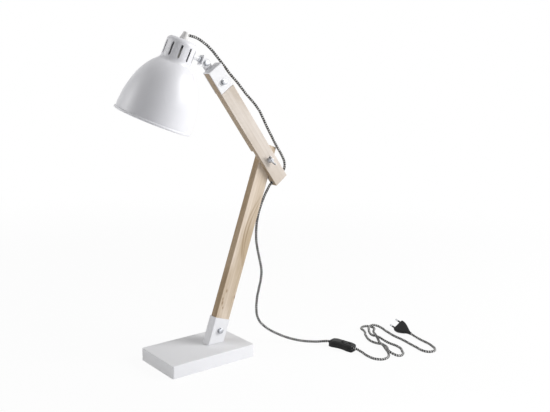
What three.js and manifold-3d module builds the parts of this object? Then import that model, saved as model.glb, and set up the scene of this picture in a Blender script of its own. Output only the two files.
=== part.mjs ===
// A desk lamp: a weighted base, a fixed wooden lower arm, a wooden upper arm that turns on a wing
// nut, and a white metal shade that tilts and turns on a pair of small brackets. A cord runs from
// the shade through the upper arm down to the floor, and on to a rocker switch and a flat plug.
//
// Lengths are in millimetres and angles in degrees. X runs right along the base's long side, Y runs
// away from the front and Z runs up. The origin is the middle of the base's underside.
import * as THREE from "three";
import { mergeVertices } from "three/addons/utils/BufferGeometryUtils.js";
import Module from "manifold-3d";

const wasm = await Module();
wasm.setup();

// Fits and cuts that all the pieces share
const GAP = 0.3;
const OVERRUN = 6;
const REACH = 900;

// Numbers of sides
const FINE_SIDES = 44;
const ROUND_SIDES = 20;
const BORE_SIDES = 12;
const CORD_SIDES = 10;
const ARC_STEPS = 6;
const CORNER_STEPS = 4;
const HEX_SIDES = 6;

// Base: a folded cover over a cast weight on a soft pad
const BASE_LENGTH = 200;
const BASE_WIDTH = 126;
const BASE_HEIGHT = 27.5;
const BASE_WALL = 1.3;
const BASE_CORNER = 3.5;
const BASE_EDGE = 1;
const COVER_LIFT = 0.9;
const PAD_THICKNESS = 3;
const PAD_INSET = 6;
const BASE_SCREW_DIAMETER = 5;
const BASE_SCREW_HEAD_DIAMETER = 9.5;
const BASE_SCREW_HEAD_HEIGHT = 3;
const BASE_SCREW_SINK = 2;
const BASE_SCREW_SPACING = 17;

// Arms
const ARM_WIDTH = 35.5;
const ARM_THICKNESS = 18;
const FOOT_X = 37.6;
const LOWER_TILT_DEG = 71.1;
const LOWER_LENGTH = 407.7;
const LOWER_END = 32;
const UPPER_TILT_DEG = 126.5;
const UPPER_LENGTH = 235.7;
const UPPER_TAIL = 58.6;
const UPPER_OFFSET = 11.5;
const NOTCH_HALF = 36.5;
const NOTCH_CLEARANCE = 0.4;

// Sheet brackets
const SHEET = 2;
const FOOT_PLATE = 3;
const FOOT_BRACKET_LENGTH = 54.5;
const FOOT_BOLT_ALONG = 28.4;
const HEAD_BRACKET_LENGTH = 51.7;
const HEAD_BOLT_FROM_END = 32.3;
const EAR_RADIUS = 9.5;
const EAR_REACH = 12;
const EAR_DROP = 1.5;
const LINK_REACH = 19.5;

// M6 fasteners
const BOLT = 6;
const HEX_FLATS = 10;
const HEAD_HEIGHT = 4;
const LOW_HEAD_HEIGHT = 3.5;
const NUT_HEIGHT = 5;
const WASHER_DIAMETER = 12;
const WASHER_THICKNESS = 1.1;
const THREAD_SHOW = 1.5;
const DOME_DIAMETER = 16;
const DOME_HEIGHT = 3.3;
const NECK_SIZE = 6.2;
const NECK_LENGTH = 3;
const WING_HUB_BASE = 11.6;
const WING_HUB_TOP = 8.6;
const WING_HUB_HEIGHT = 8.5;
const WING_SPAN = 26;
const WING_TOP = 12.5;
const WING_THICKNESS = 2.2;
const WING_TURN_DEG = 128;

// Shade, its cap and the link that carries them
const LINK_TURN_DEG = 34.9;
const SHADE_REACH = 69.6;
const SHADE_TWIST_DEG = 11.3;
const STEM_DIAMETER = 10;
const CAP_RADIUS = 30;
const CAP_TOP = 22;
const CAP_SHOULDER = 9.5;
const CAP_FLARE = 3;
const CAP_FLARE_HEIGHT = 6;
const CAP_FLARE_DEG = 50;
const CAP_LIP = 0.4;
const SHADE_WALL = 1;
const SLOT_LENGTH = 26.5;
const SLOT_DROP = 2.2;
const SLOT_WIDTH = 4;
const SLOT_PLACES = 10;
const SLOT_FIRST_DEG = 30;
const SLOT_LEFT_OUT = 4;
const BELL_RADIUS = 75.5;
const BELL_RISE = 130;
const BELL_RIM = 142.5;
const BELL_STEPS = 9;
const BEAD_DIAMETER = 5;
const GRIP_BASE = 17.4;
const GRIP_TOP = 10.5;
const GRIP_EDGE = 1.2;
const GRIP_HEIGHT = 15;
const GRIP_EXIT = 10.7;
const GRIP_POCKET = 3;

// Lampholder and bulb
const TUBE_DIAMETER = 10;
const TUBE_BORE = 6.5;
const TUBE_NUT_FLATS = 14;
const TUBE_NUT_HEIGHT = 4;
const TUBE_INTO_HOLDER = 6;
const TUBE_INTO_GRIP = 6;
const HOLDER_DIAMETER = 27;
const HOLDER_TOP = 6;
const HOLDER_MOUTH = 40;
const HOLDER_FLANGE_DIAMETER = 34;
const HOLDER_FLANGE = 3;
const RING_DIAMETER = 38;
const RING_HEIGHT = 6;
const SLEEVE_WALL = 0.7;
const SLEEVE_LENGTH = 18;
const CONTACT_WIDTH = 6;
const CONTACT_THICKNESS = 0.8;
const BULB_DIAMETER = 45;
const BULB_WALL = 1;
const BULB_END = 94;
const BULB_NECK = 12.6;
const BULB_CAP_DIAMETER = 13.5;
const BULB_CAP_LENGTH = 23;
const BULB_CONTACT_DIAMETER = 6;
const BULB_CONTACT_HEIGHT = 1.5;

// Cord, switch and plug
const CORD_DIAMETER = 5.5;
const CORD_HOLE = 7;
const CORD_HOLE_FROM_PIVOT = 49.5;
const CORD_POCKET = 4;
const CORD_CLEARANCE = 0.8;
const SWITCH_X = 282.9;
const SWITCH_Y = -143.6;
const SWITCH_TURN_DEG = -77.8;
const SWITCH_LENGTH = 60;
const SWITCH_WIDTH = 24;
const SWITCH_HEIGHT = 16.5;
const SWITCH_SPLIT = 8.5;
const SWITCH_WALL = 1.8;
const SWITCH_BEVEL = 4;
const SWITCH_FOOT_BEVEL = 1;
const ROCKER_ALONG = 7;
const ROCKER_LENGTH = 14;
const ROCKER_WIDTH = 9;
const ROCKER_PIN_HEIGHT = 12;
const ROCKER_DEPTH = 3;
const ROCKER_RISE = 3.2;
const ROCKER_PIN_DIAMETER = 2.4;
const ROCKER_PIN_LENGTH = 2;
const ROCKER_TILT_DEG = 8;
const ROCKER_CLEARANCE = 0.9;
const CONTACT_BLOCK_LENGTH = 16;
const CONTACT_BLOCK_WIDTH = 8;
const CONTACT_BLOCK_HEIGHT = 2.5;
const SWITCH_SCREW_ALONG = 20;
const SWITCH_SCREW_DIAMETER = 2.6;
const SWITCH_SCREW_HEAD = 4.6;
const SWITCH_SCREW_HEAD_HEIGHT = 1.8;
const SWITCH_SCREW_SINK = 2.5;
const SWITCH_POST_DIAMETER = 7;
const PLUG_X = 464.9;
const PLUG_Y = -145.5;
const PLUG_Z = 13.95;
const PLUG_HEADING_DEG = 84;
const PLUG_PITCH_DEG = 9;
const PLUG_ROLL_DEG = 35.8;
const PLUG_WIDTH = 30.5;
const PLUG_THICKNESS = 12;
const PLUG_LENGTH = 43;
const PLUG_BEVEL = 2.5;
const PIN_DIAMETER = 4;
const PIN_SPACING = 19;
const PIN_SLEEVE = 10;
const PIN_TIP = 9;
const PIN_ROOT_DIAMETER = 2;
const PIN_ROOT = 14;

// Outlines as shares of the sizes that they follow
const WING_OUTLINE_SHARES = [
  [0.18, 0.06], [0.6, 0.2], [0.86, 0.42], [1, 0.72], [0.97, 0.93], [0.82, 1], [0.62, 0.86],
  [0.42, 0.66], [0.18, 0.6],
];
const SWITCH_OUTLINE_SHARES = [
  [-0.5, 0.34], [-0.44, 0.44], [-0.34, 0.5], [-0.22, 0.48], [-0.08, 0.44], [0.06, 0.43],
  [0.2, 0.46], [0.32, 0.5], [0.43, 0.45], [0.5, 0.34],
];
const PLUG_OUTLINE_SHARES = [
  [0.5, 0], [0.5, -0.16], [0.46, -0.3], [0.37, -0.48], [0.27, -0.63], [0.19, -0.76], [0.13, -0.88],
  [0.12, -1],
];
const PLUG_SIDE_SHARES = [[0.5, 0], [0.5, -0.2], [0.4, -0.55], [0.28, -0.82], [0.27, -1]];
const DOME_SHARES = [[1, 0], [1, 0.18], [0.86, 0.52], [0.6, 0.82], [0.3, 0.97], [0, 1]];
const BULB_CAP_SHARES = [[1, 0], [1, 0.84], [0.55, 1]];

// The cord's route: how it hangs from the shade, along the arms and over the floor
const HEAD_ROUTE_A = [
  [-33.3, -18, 665.3], [-30.2, -18, 664.3], [-22, -17.4, 662.9], [-12, -16, 661],
  [-3, -15.1, 657.6], [6.6, -14.2, 652.7], [17.6, -13.2, 646.2], [28.5, -12.4, 637.7],
];
const HEAD_ROUTE_B = [
  [28.7, -12.4, 637.5], [38.3, -12, 628.3], [47.6, -11.7, 618.8], [61.2, -11.5, 605],
  [72.1, -11.5, 593.1], [88.8, -11.5, 577.9], [113.6, -11.5, 552.2], [132.4, -11.5, 535],
  [146.6, -11.5, 519.4], [156.4, -11.5, 504.3], [168.8, -11.5, 483], [181.1, -11.5, 463.6],
  [193.8, -11.5, 443.8], [206.8, -11.5, 426], [216, -11.5, 411], [219.5, -11.5, 399],
  [217.5, -11.5, 389.5], [212.3, -11.5, 383.2], [205.5, -11.5, 378.1], [199.3, -11.5, 373.5],
];
const DOWN_ROUTE = [
  [199, -11.5, 373.3], [191, -11.5, 367.4], [182, -11.3, 360.7], [170.2, -10.2, 343.5],
  [161.5, -8.1, 323.8], [154.8, -6.3, 304.5], [149.3, -5.2, 281.3], [147, -5.2, 258.2],
  [146.9, -6.2, 236], [149.8, -8, 214], [154.4, -9.8, 191], [157.9, -11, 170],
  [156.3, -11.6, 150], [150.9, -11.8, 130], [145.8, -12.2, 110], [143.2, -13, 88],
  [144.2, -14.5, 69.5], [150, -16.5, 55], [161.5, -19.5, 41.8], [176, -24, 30],
  [193, -31.5, 19.5], [210, -41.5, 11], [227, -55.2, 5.5], [240, -66.5, 3.3],
  [250.5, -76.5, 3], [260.5, -87.5, 3.8], [268.5, -98, 6], [273.6, -107.8, 8],
  [277.3, -117.8, 8.5],
];
const FLOOR_ROUTE = [
  [288.5, -169.5, 8.5], [289.4, -173.4, 8.5], [291, -183.3, 7.69], [291.9, -196.4, 5.25],
  [291.3, -209.5, 3.14], [290.4, -222.5, 2.85], [292.9, -235.3, 2.85], [301.8, -244.6, 2.85],
  [314.6, -246.3, 2.85], [326.5, -241, 2.85], [336.2, -232.2, 2.85], [344.3, -221.9, 2.85],
  [351.1, -210.7, 2.85], [358.3, -199.7, 2.85], [364.8, -188.4, 2.85], [369.6, -176.2, 2.85],
  [376.8, -165.3, 2.85], [384.8, -154.8, 2.85], [392.5, -144.2, 2.85], [400.2, -133.8, 2.85],
  [406.9, -121.8, 2.85], [414.6, -113.9, 2.85], [427.4, -103.8, 2.85], [430.2, -90.7, 2.85],
  [424.8, -81.8, 2.85], [414.7, -79, 2.85], [402.5, -85.6, 2.85], [396.2, -100.5, 2.85],
  [389.9, -109.8, 2.85], [380.7, -119.8, 2.85], [373.2, -130.4, 2.85], [366.3, -141.6, 2.85],
  [361.6, -153.8, 2.85], [360.4, -166.8, 3.01], [359.8, -179.9, 4.7], [357.1, -192.8, 8.13],
  [352.6, -205.1, 9.67], [347.7, -217.3, 9.87], [338.7, -227.2, 9.77], [334.7, -240.3, 8.56],
  [339.6, -251, 5.02], [349.6, -254.9, 3.04], [363.2, -249.8, 2.85], [371.5, -239.4, 2.85],
  [379.8, -229.5, 2.85], [384.3, -217.1, 2.85], [385.6, -204.1, 2.85], [384.5, -191, 3.11],
  [382.7, -178, 5.38], [381.5, -165, 8.81], [382.2, -151.9, 8.83], [385.9, -139.3, 5.53],
  [391.6, -127.5, 3.17], [398.4, -116.3, 2.87], [406.7, -106.3, 3.34], [416.4, -97, 6.23],
  [429.6, -96.2, 8.79], [439.6, -102.7, 6.38], [442.6, -115.4, 3.39], [438.2, -128.2, 2.86],
  [434.8, -140.7, 2.85], [431, -153.3, 2.85], [428.1, -166.1, 2.85], [426.5, -179.1, 2.85],
  [425.1, -192.2, 2.85], [422.6, -205.1, 2.85], [419.6, -217.8, 2.85], [416.5, -230.6, 2.85],
  [414.2, -243.6, 2.85], [410.9, -256, 2.85], [410.5, -269.9, 2.85], [418.1, -279.3, 2.85],
  [429.7, -280.9, 2.85], [441.1, -273.2, 2.85], [447.4, -261.7, 2.85], [452.5, -249.7, 2.85],
  [455.3, -236.8, 2.85], [457.3, -223.9, 2.87], [458.7, -210.8, 3.76], [459.8, -197.8, 5.57],
  [460.4, -188.2, 7.16], [460.8, -184.2, 7.8],
];
const HEAD_STEPS_A = 5;
const HEAD_STEPS_B = 16;
const DOWN_STEPS = 30;
const FLOOR_STEPS = 110;

// Colours and finishes
const WHITE_PAINT = { color: 0xe9eaea, roughness: 0.35, metalness: 0 };
const CAST_WEIGHT = { color: 0x6b6b69, roughness: 0.9, metalness: 0 };
const SOFT_PAD = { color: 0x2b2b2b, roughness: 0.95, metalness: 0 };
const WOOD = { color: 0xd8cbb8, roughness: 0.6, metalness: 0 };
const NICKEL = { color: 0xb9bbbd, roughness: 0.3, metalness: 1 };
const BRASS = { color: 0xc2a255, roughness: 0.35, metalness: 1 };
const WHITE_PLASTIC = { color: 0xe4e3df, roughness: 0.5, metalness: 0 };
const PORCELAIN = { color: 0xefeeea, roughness: 0.3, metalness: 0 };
const GLASS = { color: 0xf4f2ea, roughness: 0.25, metalness: 0 };
const BRAID = { color: 0x4a4a4a, roughness: 0.9, metalness: 0 };
const BLACK_PLASTIC = { color: 0x242424, roughness: 0.45, metalness: 0 };

// Sizes and places that follow from the ones above
const ARM_HALF = ARM_WIDTH / 2;
const HALF_THICKNESS = ARM_THICKNESS / 2;
const COVER_INSIDE = BASE_HEIGHT - BASE_WALL;
const FOOT_PLATE_TOP = BASE_HEIGHT + GAP + FOOT_PLATE;
const BOLT_HOLE = BOLT + 2 * GAP;
const UPPER_BACK = UPPER_OFFSET - HALF_THICKNESS;
const UPPER_FRONT = UPPER_OFFSET + HALF_THICKNESS;
const HEAD_WEB = UPPER_LENGTH + GAP;
const HEAD_WEB_FACE = HEAD_WEB + SHEET;
const HEAD_BOLT_ALONG = UPPER_LENGTH - HEAD_BOLT_FROM_END;
const HEAD_BACK = UPPER_BACK - GAP - SHEET;
const TILT_ALONG = HEAD_WEB_FACE + EAR_REACH;
const LINK_BACK = UPPER_BACK;
const LINK_INSIDE = LINK_REACH - SHEET;
const SWIVEL_NUT_START = LINK_REACH + WASHER_THICKNESS + 2 * GAP;
const STEM_START = SWIVEL_NUT_START + NUT_HEIGHT + GAP;
const CAP_WALL_NEAR = SHADE_REACH - CAP_RADIUS;
const BELL_TOP = bellHeight(CAP_RADIUS);
const CAP_BOTTOM = BELL_TOP + GAP;
const TUBE_HOLE = TUBE_DIAMETER + 2 * GAP;
const HOLDER_BORE = BULB_CAP_DIAMETER + 2 * SLEEVE_WALL + 4 * GAP;
const CORD_CLEAR_HOLE = CORD_DIAMETER + 2 * CORD_CLEARANCE;

const rad = THREE.MathUtils.degToRad;
const QUARTER = Math.PI / 2;

// The height of the bell's outside where it has a given radius.
function bellHeight(radius) {
  return BELL_RISE * Math.sin(Math.acos(radius / BELL_RADIUS)) - BELL_RIM;
}

// Turns a closed geometry into a solid that can be joined and cut.
function solid(geometry) {
  const bare = geometry.index ? geometry : geometry.clone();
  bare.deleteAttribute("normal");
  bare.deleteAttribute("uv");
  const merged = mergeVertices(bare, GAP * 1e-3);
  const corners = merged.index.array;
  const kept = [];
  for (let i = 0; i < corners.length; i += 3) {
    const [a, b, c] = corners.slice(i, i + 3);
    if (a !== b && b !== c && c !== a) kept.push(a, b, c);
  }
  const body = new wasm.Manifold(
    new wasm.Mesh({
      numProp: 3,
      vertProperties: merged.attributes.position.array,
      triVerts: new Uint32Array(kept),
    }),
  );
  return body;
}

// A box between two opposite corners.
function block(x, y, z) {
  const box = new THREE.BoxGeometry(x[1] - x[0], y[1] - y[0], z[1] - z[0]);
  box.translate((x[0] + x[1]) / 2, (y[0] + y[1]) / 2, (z[0] + z[1]) / 2);
  return solid(box);
}

// An outline in X and Y, drawn up from the first height to the second.
function prism(shape, z) {
  const bar = new THREE.ExtrudeGeometry(shape, {
    depth: z[1] - z[0],
    bevelEnabled: false,
    curveSegments: ARC_STEPS / 2,
  });
  bar.translate(0, 0, z[0]);
  return solid(bar);
}

// The same with both ends bevelled within the outline.
function bevelledPrism(shape, z, bevel) {
  const bar = new THREE.ExtrudeGeometry(shape, {
    depth: z[1] - z[0] - 2 * bevel,
    bevelThickness: bevel,
    bevelSize: bevel,
    bevelOffset: -bevel,
    bevelSegments: 2,
    curveSegments: ARC_STEPS / 2,
  });
  bar.translate(0, 0, z[0] + bevel);
  return solid(bar);
}

// A round bar along Z.
function rod(diameter, z, sides = BORE_SIDES) {
  const bar = new THREE.CylinderGeometry(diameter / 2, diameter / 2, z[1] - z[0], sides);
  bar.rotateX(QUARTER);
  bar.translate(0, 0, (z[0] + z[1]) / 2);
  return solid(bar);
}

// A profile of radius and height, turned about Z. It starts and ends on the axis or closes.
function turned(profile, sides = ROUND_SIDES) {
  const points = profile.map(([r, z]) => new THREE.Vector2(r, z));
  const round = new THREE.LatheGeometry(points, sides);
  round.rotateX(QUARTER);
  const body = solid(round);
  return body.volume() < 0 ? solid(flipped(round)) : body;
}

function flipped(geometry) {
  const corners = geometry.index.array;
  for (let i = 0; i < corners.length; i += 3) {
    [corners[i + 1], corners[i + 2]] = [corners[i + 2], corners[i + 1]];
  }
  return geometry;
}

// A ring of rectangular section about Z.
function collar(outer, inner, z, sides = ROUND_SIDES) {
  return rod(outer, z, sides).subtract(rod(inner, [z[0] - OVERRUN, z[1] + OVERRUN], sides));
}

// A hexagonal bar along Z, with two corners on X.
function hexagon(flats, z) {
  const width = flats / Math.cos(Math.PI / HEX_SIDES);
  return rod(width, z, HEX_SIDES).rotate(0, 0, 180 / HEX_SIDES);
}

// Lays a solid that runs along Z along X.
function alongX(body) {
  return body.rotate(0, 90, 0);
}

function outline(points) {
  return new THREE.Shape(points.map(([x, y]) => new THREE.Vector2(x, y)));
}

function roundedRectangle(length, width, corner) {
  const shape = new THREE.Shape();
  const [x, y] = [length / 2 - corner, width / 2 - corner];
  shape.absarc(x, y, corner, 0, QUARTER);
  shape.absarc(-x, y, corner, QUARTER, 2 * QUARTER);
  shape.absarc(-x, -y, corner, 2 * QUARTER, 3 * QUARTER);
  shape.absarc(x, -y, corner, 3 * QUARTER, 4 * QUARTER);
  return shape;
}

// A plate along X with a round end about the origin.
function roundEnded(reach, radius) {
  const shape = new THREE.Shape();
  shape.moveTo(reach, radius);
  shape.absarc(0, 0, radius, QUARTER, 3 * QUARTER);
  shape.lineTo(reach, -radius);
  return shape;
}

// A round tube through hand-chosen points.
function cordTube(points, steps) {
  const path = new THREE.CatmullRomCurve3(
    points.map(([x, y, z]) => new THREE.Vector3(x, y, z)),
    false,
    "centripetal",
  );
  const section = new THREE.Shape();
  section.absarc(0, 0, CORD_DIAMETER / 2, 0, 4 * QUARTER);
  const tube = new THREE.ExtrudeGeometry(section, {
    steps,
    curveSegments: CORD_SIDES / 2,
    extrudePath: path,
  });
  return solid(tube);
}

// Names a solid, gives it a finish and puts it in its group.
function piece(name, body, finish, parent) {
  const mesh = body.getMesh();
  const stride = mesh.numProp;
  const places = new Float32Array(mesh.numVert * 3);
  for (let i = 0; i < mesh.numVert; i += 1) {
    places.set(mesh.vertProperties.subarray(i * stride, i * stride + 3), i * 3);
  }
  const geometry = new THREE.BufferGeometry();
  geometry.setAttribute("position", new THREE.BufferAttribute(places, 3));
  geometry.setIndex(new THREE.BufferAttribute(new Uint32Array(mesh.triVerts), 1));
  const made = new THREE.Mesh(geometry, new THREE.MeshStandardMaterial(finish));
  made.name = name;
  parent.add(made);
}

function group(parent, place = [0, 0, 0]) {
  const made = new THREE.Group();
  made.position.set(...place);
  parent.add(made);
  return made;
}

// Fasteners, each along Z with its head at the high end
function hexBolt(headSeat, end, headHeight = HEAD_HEIGHT) {
  const head = hexagon(HEX_FLATS, [headSeat, headSeat + headHeight]);
  return head.add(rod(BOLT, [end, headSeat + headHeight / 2]));
}

function washer(seat) {
  return collar(WASHER_DIAMETER, BOLT_HOLE, [seat, seat + WASHER_THICKNESS]);
}

function nut(z) {
  return hexagon(HEX_FLATS, z).subtract(boltHole(z));
}

function boltHole(z) {
  return rod(BOLT_HOLE, [z[0] - OVERRUN, z[1] + OVERRUN]);
}

// Base
function baseCover() {
  const z = [COVER_LIFT - BASE_HEIGHT, BASE_HEIGHT];
  const outside = bevelledPrism(
    roundedRectangle(BASE_LENGTH, BASE_WIDTH, BASE_CORNER), z, BASE_EDGE,
  );
  const inside = prism(
    roundedRectangle(
      BASE_LENGTH - 2 * BASE_WALL, BASE_WIDTH - 2 * BASE_WALL, BASE_CORNER - BASE_WALL,
    ),
    [z[0] - OVERRUN, COVER_INSIDE],
  );
  const below = block(
    [-BASE_LENGTH, BASE_LENGTH], [-BASE_WIDTH, BASE_WIDTH], [-REACH, COVER_LIFT],
  );
  return outside.subtract(inside).subtract(below).subtract(baseScrewHoles());
}

function baseScrewPlaces() {
  return [FOOT_X - BASE_SCREW_SPACING / 2, FOOT_X + BASE_SCREW_SPACING / 2];
}

function baseScrewHoles() {
  const [first, second] = baseScrewPlaces().map((x) =>
    rod(BASE_SCREW_DIAMETER + 2 * GAP, [0, BASE_HEIGHT + 2 * FOOT_PLATE]).translate(x, 0, 0),
  );
  return first.add(second);
}

function baseWeight() {
  const inset = 2 * (BASE_WALL + GAP);
  const bottom = PAD_THICKNESS + GAP;
  const slab = prism(
    roundedRectangle(BASE_LENGTH - inset, BASE_WIDTH - inset, BASE_CORNER - BASE_WALL),
    [bottom, COVER_INSIDE - GAP],
  );
  const sinkTop = bottom + BASE_SCREW_SINK + BASE_SCREW_HEAD_HEIGHT;
  const sink = rod(BASE_SCREW_HEAD_DIAMETER + 2 * GAP, [bottom - OVERRUN, sinkTop + GAP]);
  const [first, second] = baseScrewPlaces().map((x) => sink.translate(x, 0, 0));
  return slab.subtract(baseScrewHoles()).subtract(first).subtract(second);
}

function basePad() {
  const inset = 2 * (BASE_WALL + PAD_INSET);
  return prism(
    roundedRectangle(BASE_LENGTH - inset, BASE_WIDTH - inset, BASE_CORNER), [0, PAD_THICKNESS],
  );
}

function baseScrew() {
  const seat = PAD_THICKNESS + GAP + BASE_SCREW_SINK;
  const head = rod(BASE_SCREW_HEAD_DIAMETER, [seat, seat + BASE_SCREW_HEAD_HEIGHT], ROUND_SIDES);
  return head.add(rod(BASE_SCREW_DIAMETER, [seat, FOOT_PLATE_TOP - GAP]));
}

// The half-space over a height, seen from the leaning lower arm.
function aboveLevel(height) {
  const box = new THREE.BoxGeometry(2 * REACH, REACH, 2 * REACH);
  box.translate(0, REACH / 2 + height - BASE_HEIGHT, 0);
  box.rotateZ(-rad(LOWER_TILT_DEG));
  return solid(box);
}

// Lower arm and its foot bracket: X along the arm, Y to its left and Z to the front
function footBracket() {
  const half = HALF_THICKNESS + GAP;
  const outer = block(
    [-REACH, FOOT_BRACKET_LENGTH],
    [-ARM_HALF, ARM_HALF + GAP + SHEET],
    [-half - SHEET, half + SHEET],
  ).intersect(aboveLevel(BASE_HEIGHT + GAP));
  const channel = block(
    [-REACH, REACH], [-REACH, ARM_HALF + GAP], [-half, half],
  ).intersect(aboveLevel(FOOT_PLATE_TOP));
  const hole = boltHole([-half - SHEET, half + SHEET]).translate(FOOT_BOLT_ALONG, 0, 0);
  const screwHoles = baseScrewHoles()
    .translate(-FOOT_X, 0, -BASE_HEIGHT)
    .rotate(-90, 0, 0)
    .rotate(0, 0, -LOWER_TILT_DEG);
  return outer.subtract(channel).subtract(hole).subtract(screwHoles);
}

function lowerArm() {
  const z = [-HALF_THICKNESS, HALF_THICKNESS];
  const bar = block([-REACH, LOWER_LENGTH + LOWER_END], [-ARM_HALF, ARM_HALF], z)
    .intersect(aboveLevel(FOOT_PLATE_TOP + GAP));
  const neckHalf = NECK_SIZE / 2 + GAP;
  const neck = block(
    [-neckHalf, neckHalf], [-neckHalf, neckHalf],
    [-HALF_THICKNESS - OVERRUN, -HALF_THICKNESS + NECK_LENGTH],
  );
  return bar
    .subtract(boltHole(z).translate(FOOT_BOLT_ALONG, 0, 0))
    .subtract(boltHole(z).add(neck).translate(LOWER_LENGTH, 0, 0));
}

function footBolt() {
  const side = HALF_THICKNESS + GAP + SHEET;
  const nutStart = -side - GAP - NUT_HEIGHT;
  return {
    bolt: hexBolt(side + WASHER_THICKNESS + 2 * GAP, nutStart - THREAD_SHOW),
    washer: washer(side + GAP),
    nut: nut([nutStart, -side - GAP]),
  };
}

// Elbow: a carriage bolt from behind, a washer and a wing nut in front
function elbowBolt() {
  const seat = -HALF_THICKNESS - GAP;
  const dome = turned([
    [0, seat],
    ...DOME_SHARES.map(([r, z]) => [(r * DOME_DIAMETER) / 2, seat - z * DOME_HEIGHT]),
  ]);
  const half = NECK_SIZE / 2;
  const neck = block([-half, half], [-half, half], [seat, seat + NECK_LENGTH]);
  const end = UPPER_FRONT + WASHER_THICKNESS + 2 * GAP + WING_HUB_HEIGHT + THREAD_SHOW;
  return dome.add(neck).add(rod(BOLT, [seat, end]));
}

function wingNut() {
  const seat = UPPER_FRONT + WASHER_THICKNESS + 2 * GAP;
  const hub = turned([
    [0, seat], [WING_HUB_BASE / 2, seat], [WING_HUB_TOP / 2, seat + WING_HUB_HEIGHT],
    [0, seat + WING_HUB_HEIGHT],
  ]);
  const wing = new THREE.ExtrudeGeometry(
    outline(WING_OUTLINE_SHARES.map(([x, y]) => [(x * WING_SPAN) / 2, y * WING_TOP])),
    { depth: WING_THICKNESS, bevelEnabled: false },
  );
  wing.translate(0, 0, -WING_THICKNESS / 2);
  wing.rotateX(QUARTER);
  wing.translate(0, 0, seat);
  const one = solid(wing);
  return hub
    .add(one)
    .add(one.rotate(0, 0, 180))
    .subtract(boltHole([seat, seat + WING_TOP]))
    .rotate(0, 0, WING_TURN_DEG);
}

// Upper arm: X along the arm to the shade, Y to its lower side and Z to the front
function upperArm() {
  const z = [UPPER_BACK, UPPER_FRONT];
  const bar = block([-UPPER_TAIL, UPPER_LENGTH], [-ARM_HALF, ARM_HALF], z);
  const notch = block(
    [-NOTCH_HALF, NOTCH_HALF], [-ARM_WIDTH, ARM_WIDTH],
    [UPPER_BACK - OVERRUN, HALF_THICKNESS + NOTCH_CLEARANCE],
  );
  const cordHole = rod(CORD_HOLE, [-ARM_WIDTH, ARM_WIDTH])
    .rotate(90, 0, 0)
    .translate(-CORD_HOLE_FROM_PIVOT, 0, UPPER_OFFSET);
  return bar
    .subtract(notch)
    .subtract(cordHole)
    .subtract(boltHole(z))
    .subtract(boltHole(z).translate(HEAD_BOLT_ALONG, 0, 0));
}

function headBracket() {
  const start = HEAD_WEB_FACE - HEAD_BRACKET_LENGTH;
  const z = [HEAD_BACK, UPPER_FRONT + GAP + SHEET];
  const strap = block([start, HEAD_WEB_FACE], [-ARM_HALF, ARM_HALF], z).subtract(
    block([-REACH, HEAD_WEB], [-ARM_WIDTH, ARM_WIDTH], [z[0] + SHEET, z[1] - SHEET]),
  );
  const ear = prism(roundEnded(EAR_REACH + SHEET / 2, EAR_RADIUS), [z[0], z[0] + SHEET])
    .rotate(0, 0, 180)
    .translate(TILT_ALONG, EAR_DROP, 0);
  return strap
    .add(ear)
    .subtract(boltHole(z).translate(HEAD_BOLT_ALONG, 0, 0))
    .subtract(rod(BOLT_HOLE, [z[0] - OVERRUN, z[0] + OVERRUN]).translate(TILT_ALONG, EAR_DROP, 0));
}

function headBolt() {
  const front = UPPER_FRONT + GAP + SHEET;
  const nutTop = HEAD_BACK - GAP;
  return {
    bolt: hexBolt(front + WASHER_THICKNESS + 2 * GAP, nutTop - NUT_HEIGHT - THREAD_SHOW),
    washer: washer(front + GAP),
    nut: nut([nutTop - NUT_HEIGHT, nutTop]),
  };
}

function tiltBolt() {
  const washerTop = HEAD_BACK - GAP;
  const nutTop = washerTop - WASHER_THICKNESS - GAP;
  return {
    bolt: hexBolt(LINK_BACK + SHEET + GAP, nutTop - NUT_HEIGHT - THREAD_SHOW, LOW_HEAD_HEIGHT),
    washer: washer(washerTop - WASHER_THICKNESS),
    nut: nut([nutTop - NUT_HEIGHT, nutTop]),
  };
}

// Link: X from the tilt bolt to the cap, Z to the front
function tiltBracket() {
  const back = prism(roundEnded(LINK_REACH, EAR_RADIUS), [LINK_BACK, LINK_BACK + SHEET]);
  const front = block(
    [LINK_INSIDE, LINK_REACH], [-EAR_RADIUS, EAR_RADIUS], [LINK_BACK, UPPER_FRONT],
  );
  const swivelHole = alongX(rod(BOLT_HOLE, [0, LINK_REACH + OVERRUN]))
    .translate(0, 0, UPPER_OFFSET)
    .subtract(block([-REACH, BOLT], [-REACH, REACH], [-REACH, REACH]));
  return back
    .add(front)
    .subtract(rod(BOLT_HOLE, [-OVERRUN, LINK_BACK + OVERRUN]))
    .subtract(swivelHole);
}

function swivelBolt() {
  const seat = LINK_INSIDE - GAP;
  const end = CAP_WALL_NEAR + SHADE_WALL + NUT_HEIGHT + THREAD_SHOW + 3 * GAP;
  const head = hexagon(HEX_FLATS, [seat - LOW_HEAD_HEIGHT, seat]);
  return onSwivelAxis(head.add(rod(BOLT, [seat - LOW_HEAD_HEIGHT / 2, end])));
}

function swivelJamNut() {
  return onSwivelAxis(nut([SWIVEL_NUT_START, SWIVEL_NUT_START + NUT_HEIGHT]));
}

function swivelInnerNut() {
  const inside = Math.sqrt((CAP_RADIUS - SHADE_WALL) ** 2 - (HEX_FLATS / 2) ** 2);
  const start = SHADE_REACH - inside + 4 * GAP;
  return onSwivelAxis(nut([start, start + NUT_HEIGHT]));
}

function onSwivelAxis(body) {
  return alongX(body).translate(0, 0, UPPER_OFFSET);
}

// Shade: Z along the shade's axis from rim to cap, X away from the link
function shadeStem() {
  const start = STEM_START - SHADE_REACH;
  const bar = alongX(collar(STEM_DIAMETER, BOLT_HOLE, [start, -CAP_RADIUS + OVERRUN]));
  return bar.subtract(rod(2 * (CAP_RADIUS + GAP), [-CAP_RADIUS, CAP_RADIUS], FINE_SIDES));
}

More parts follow.
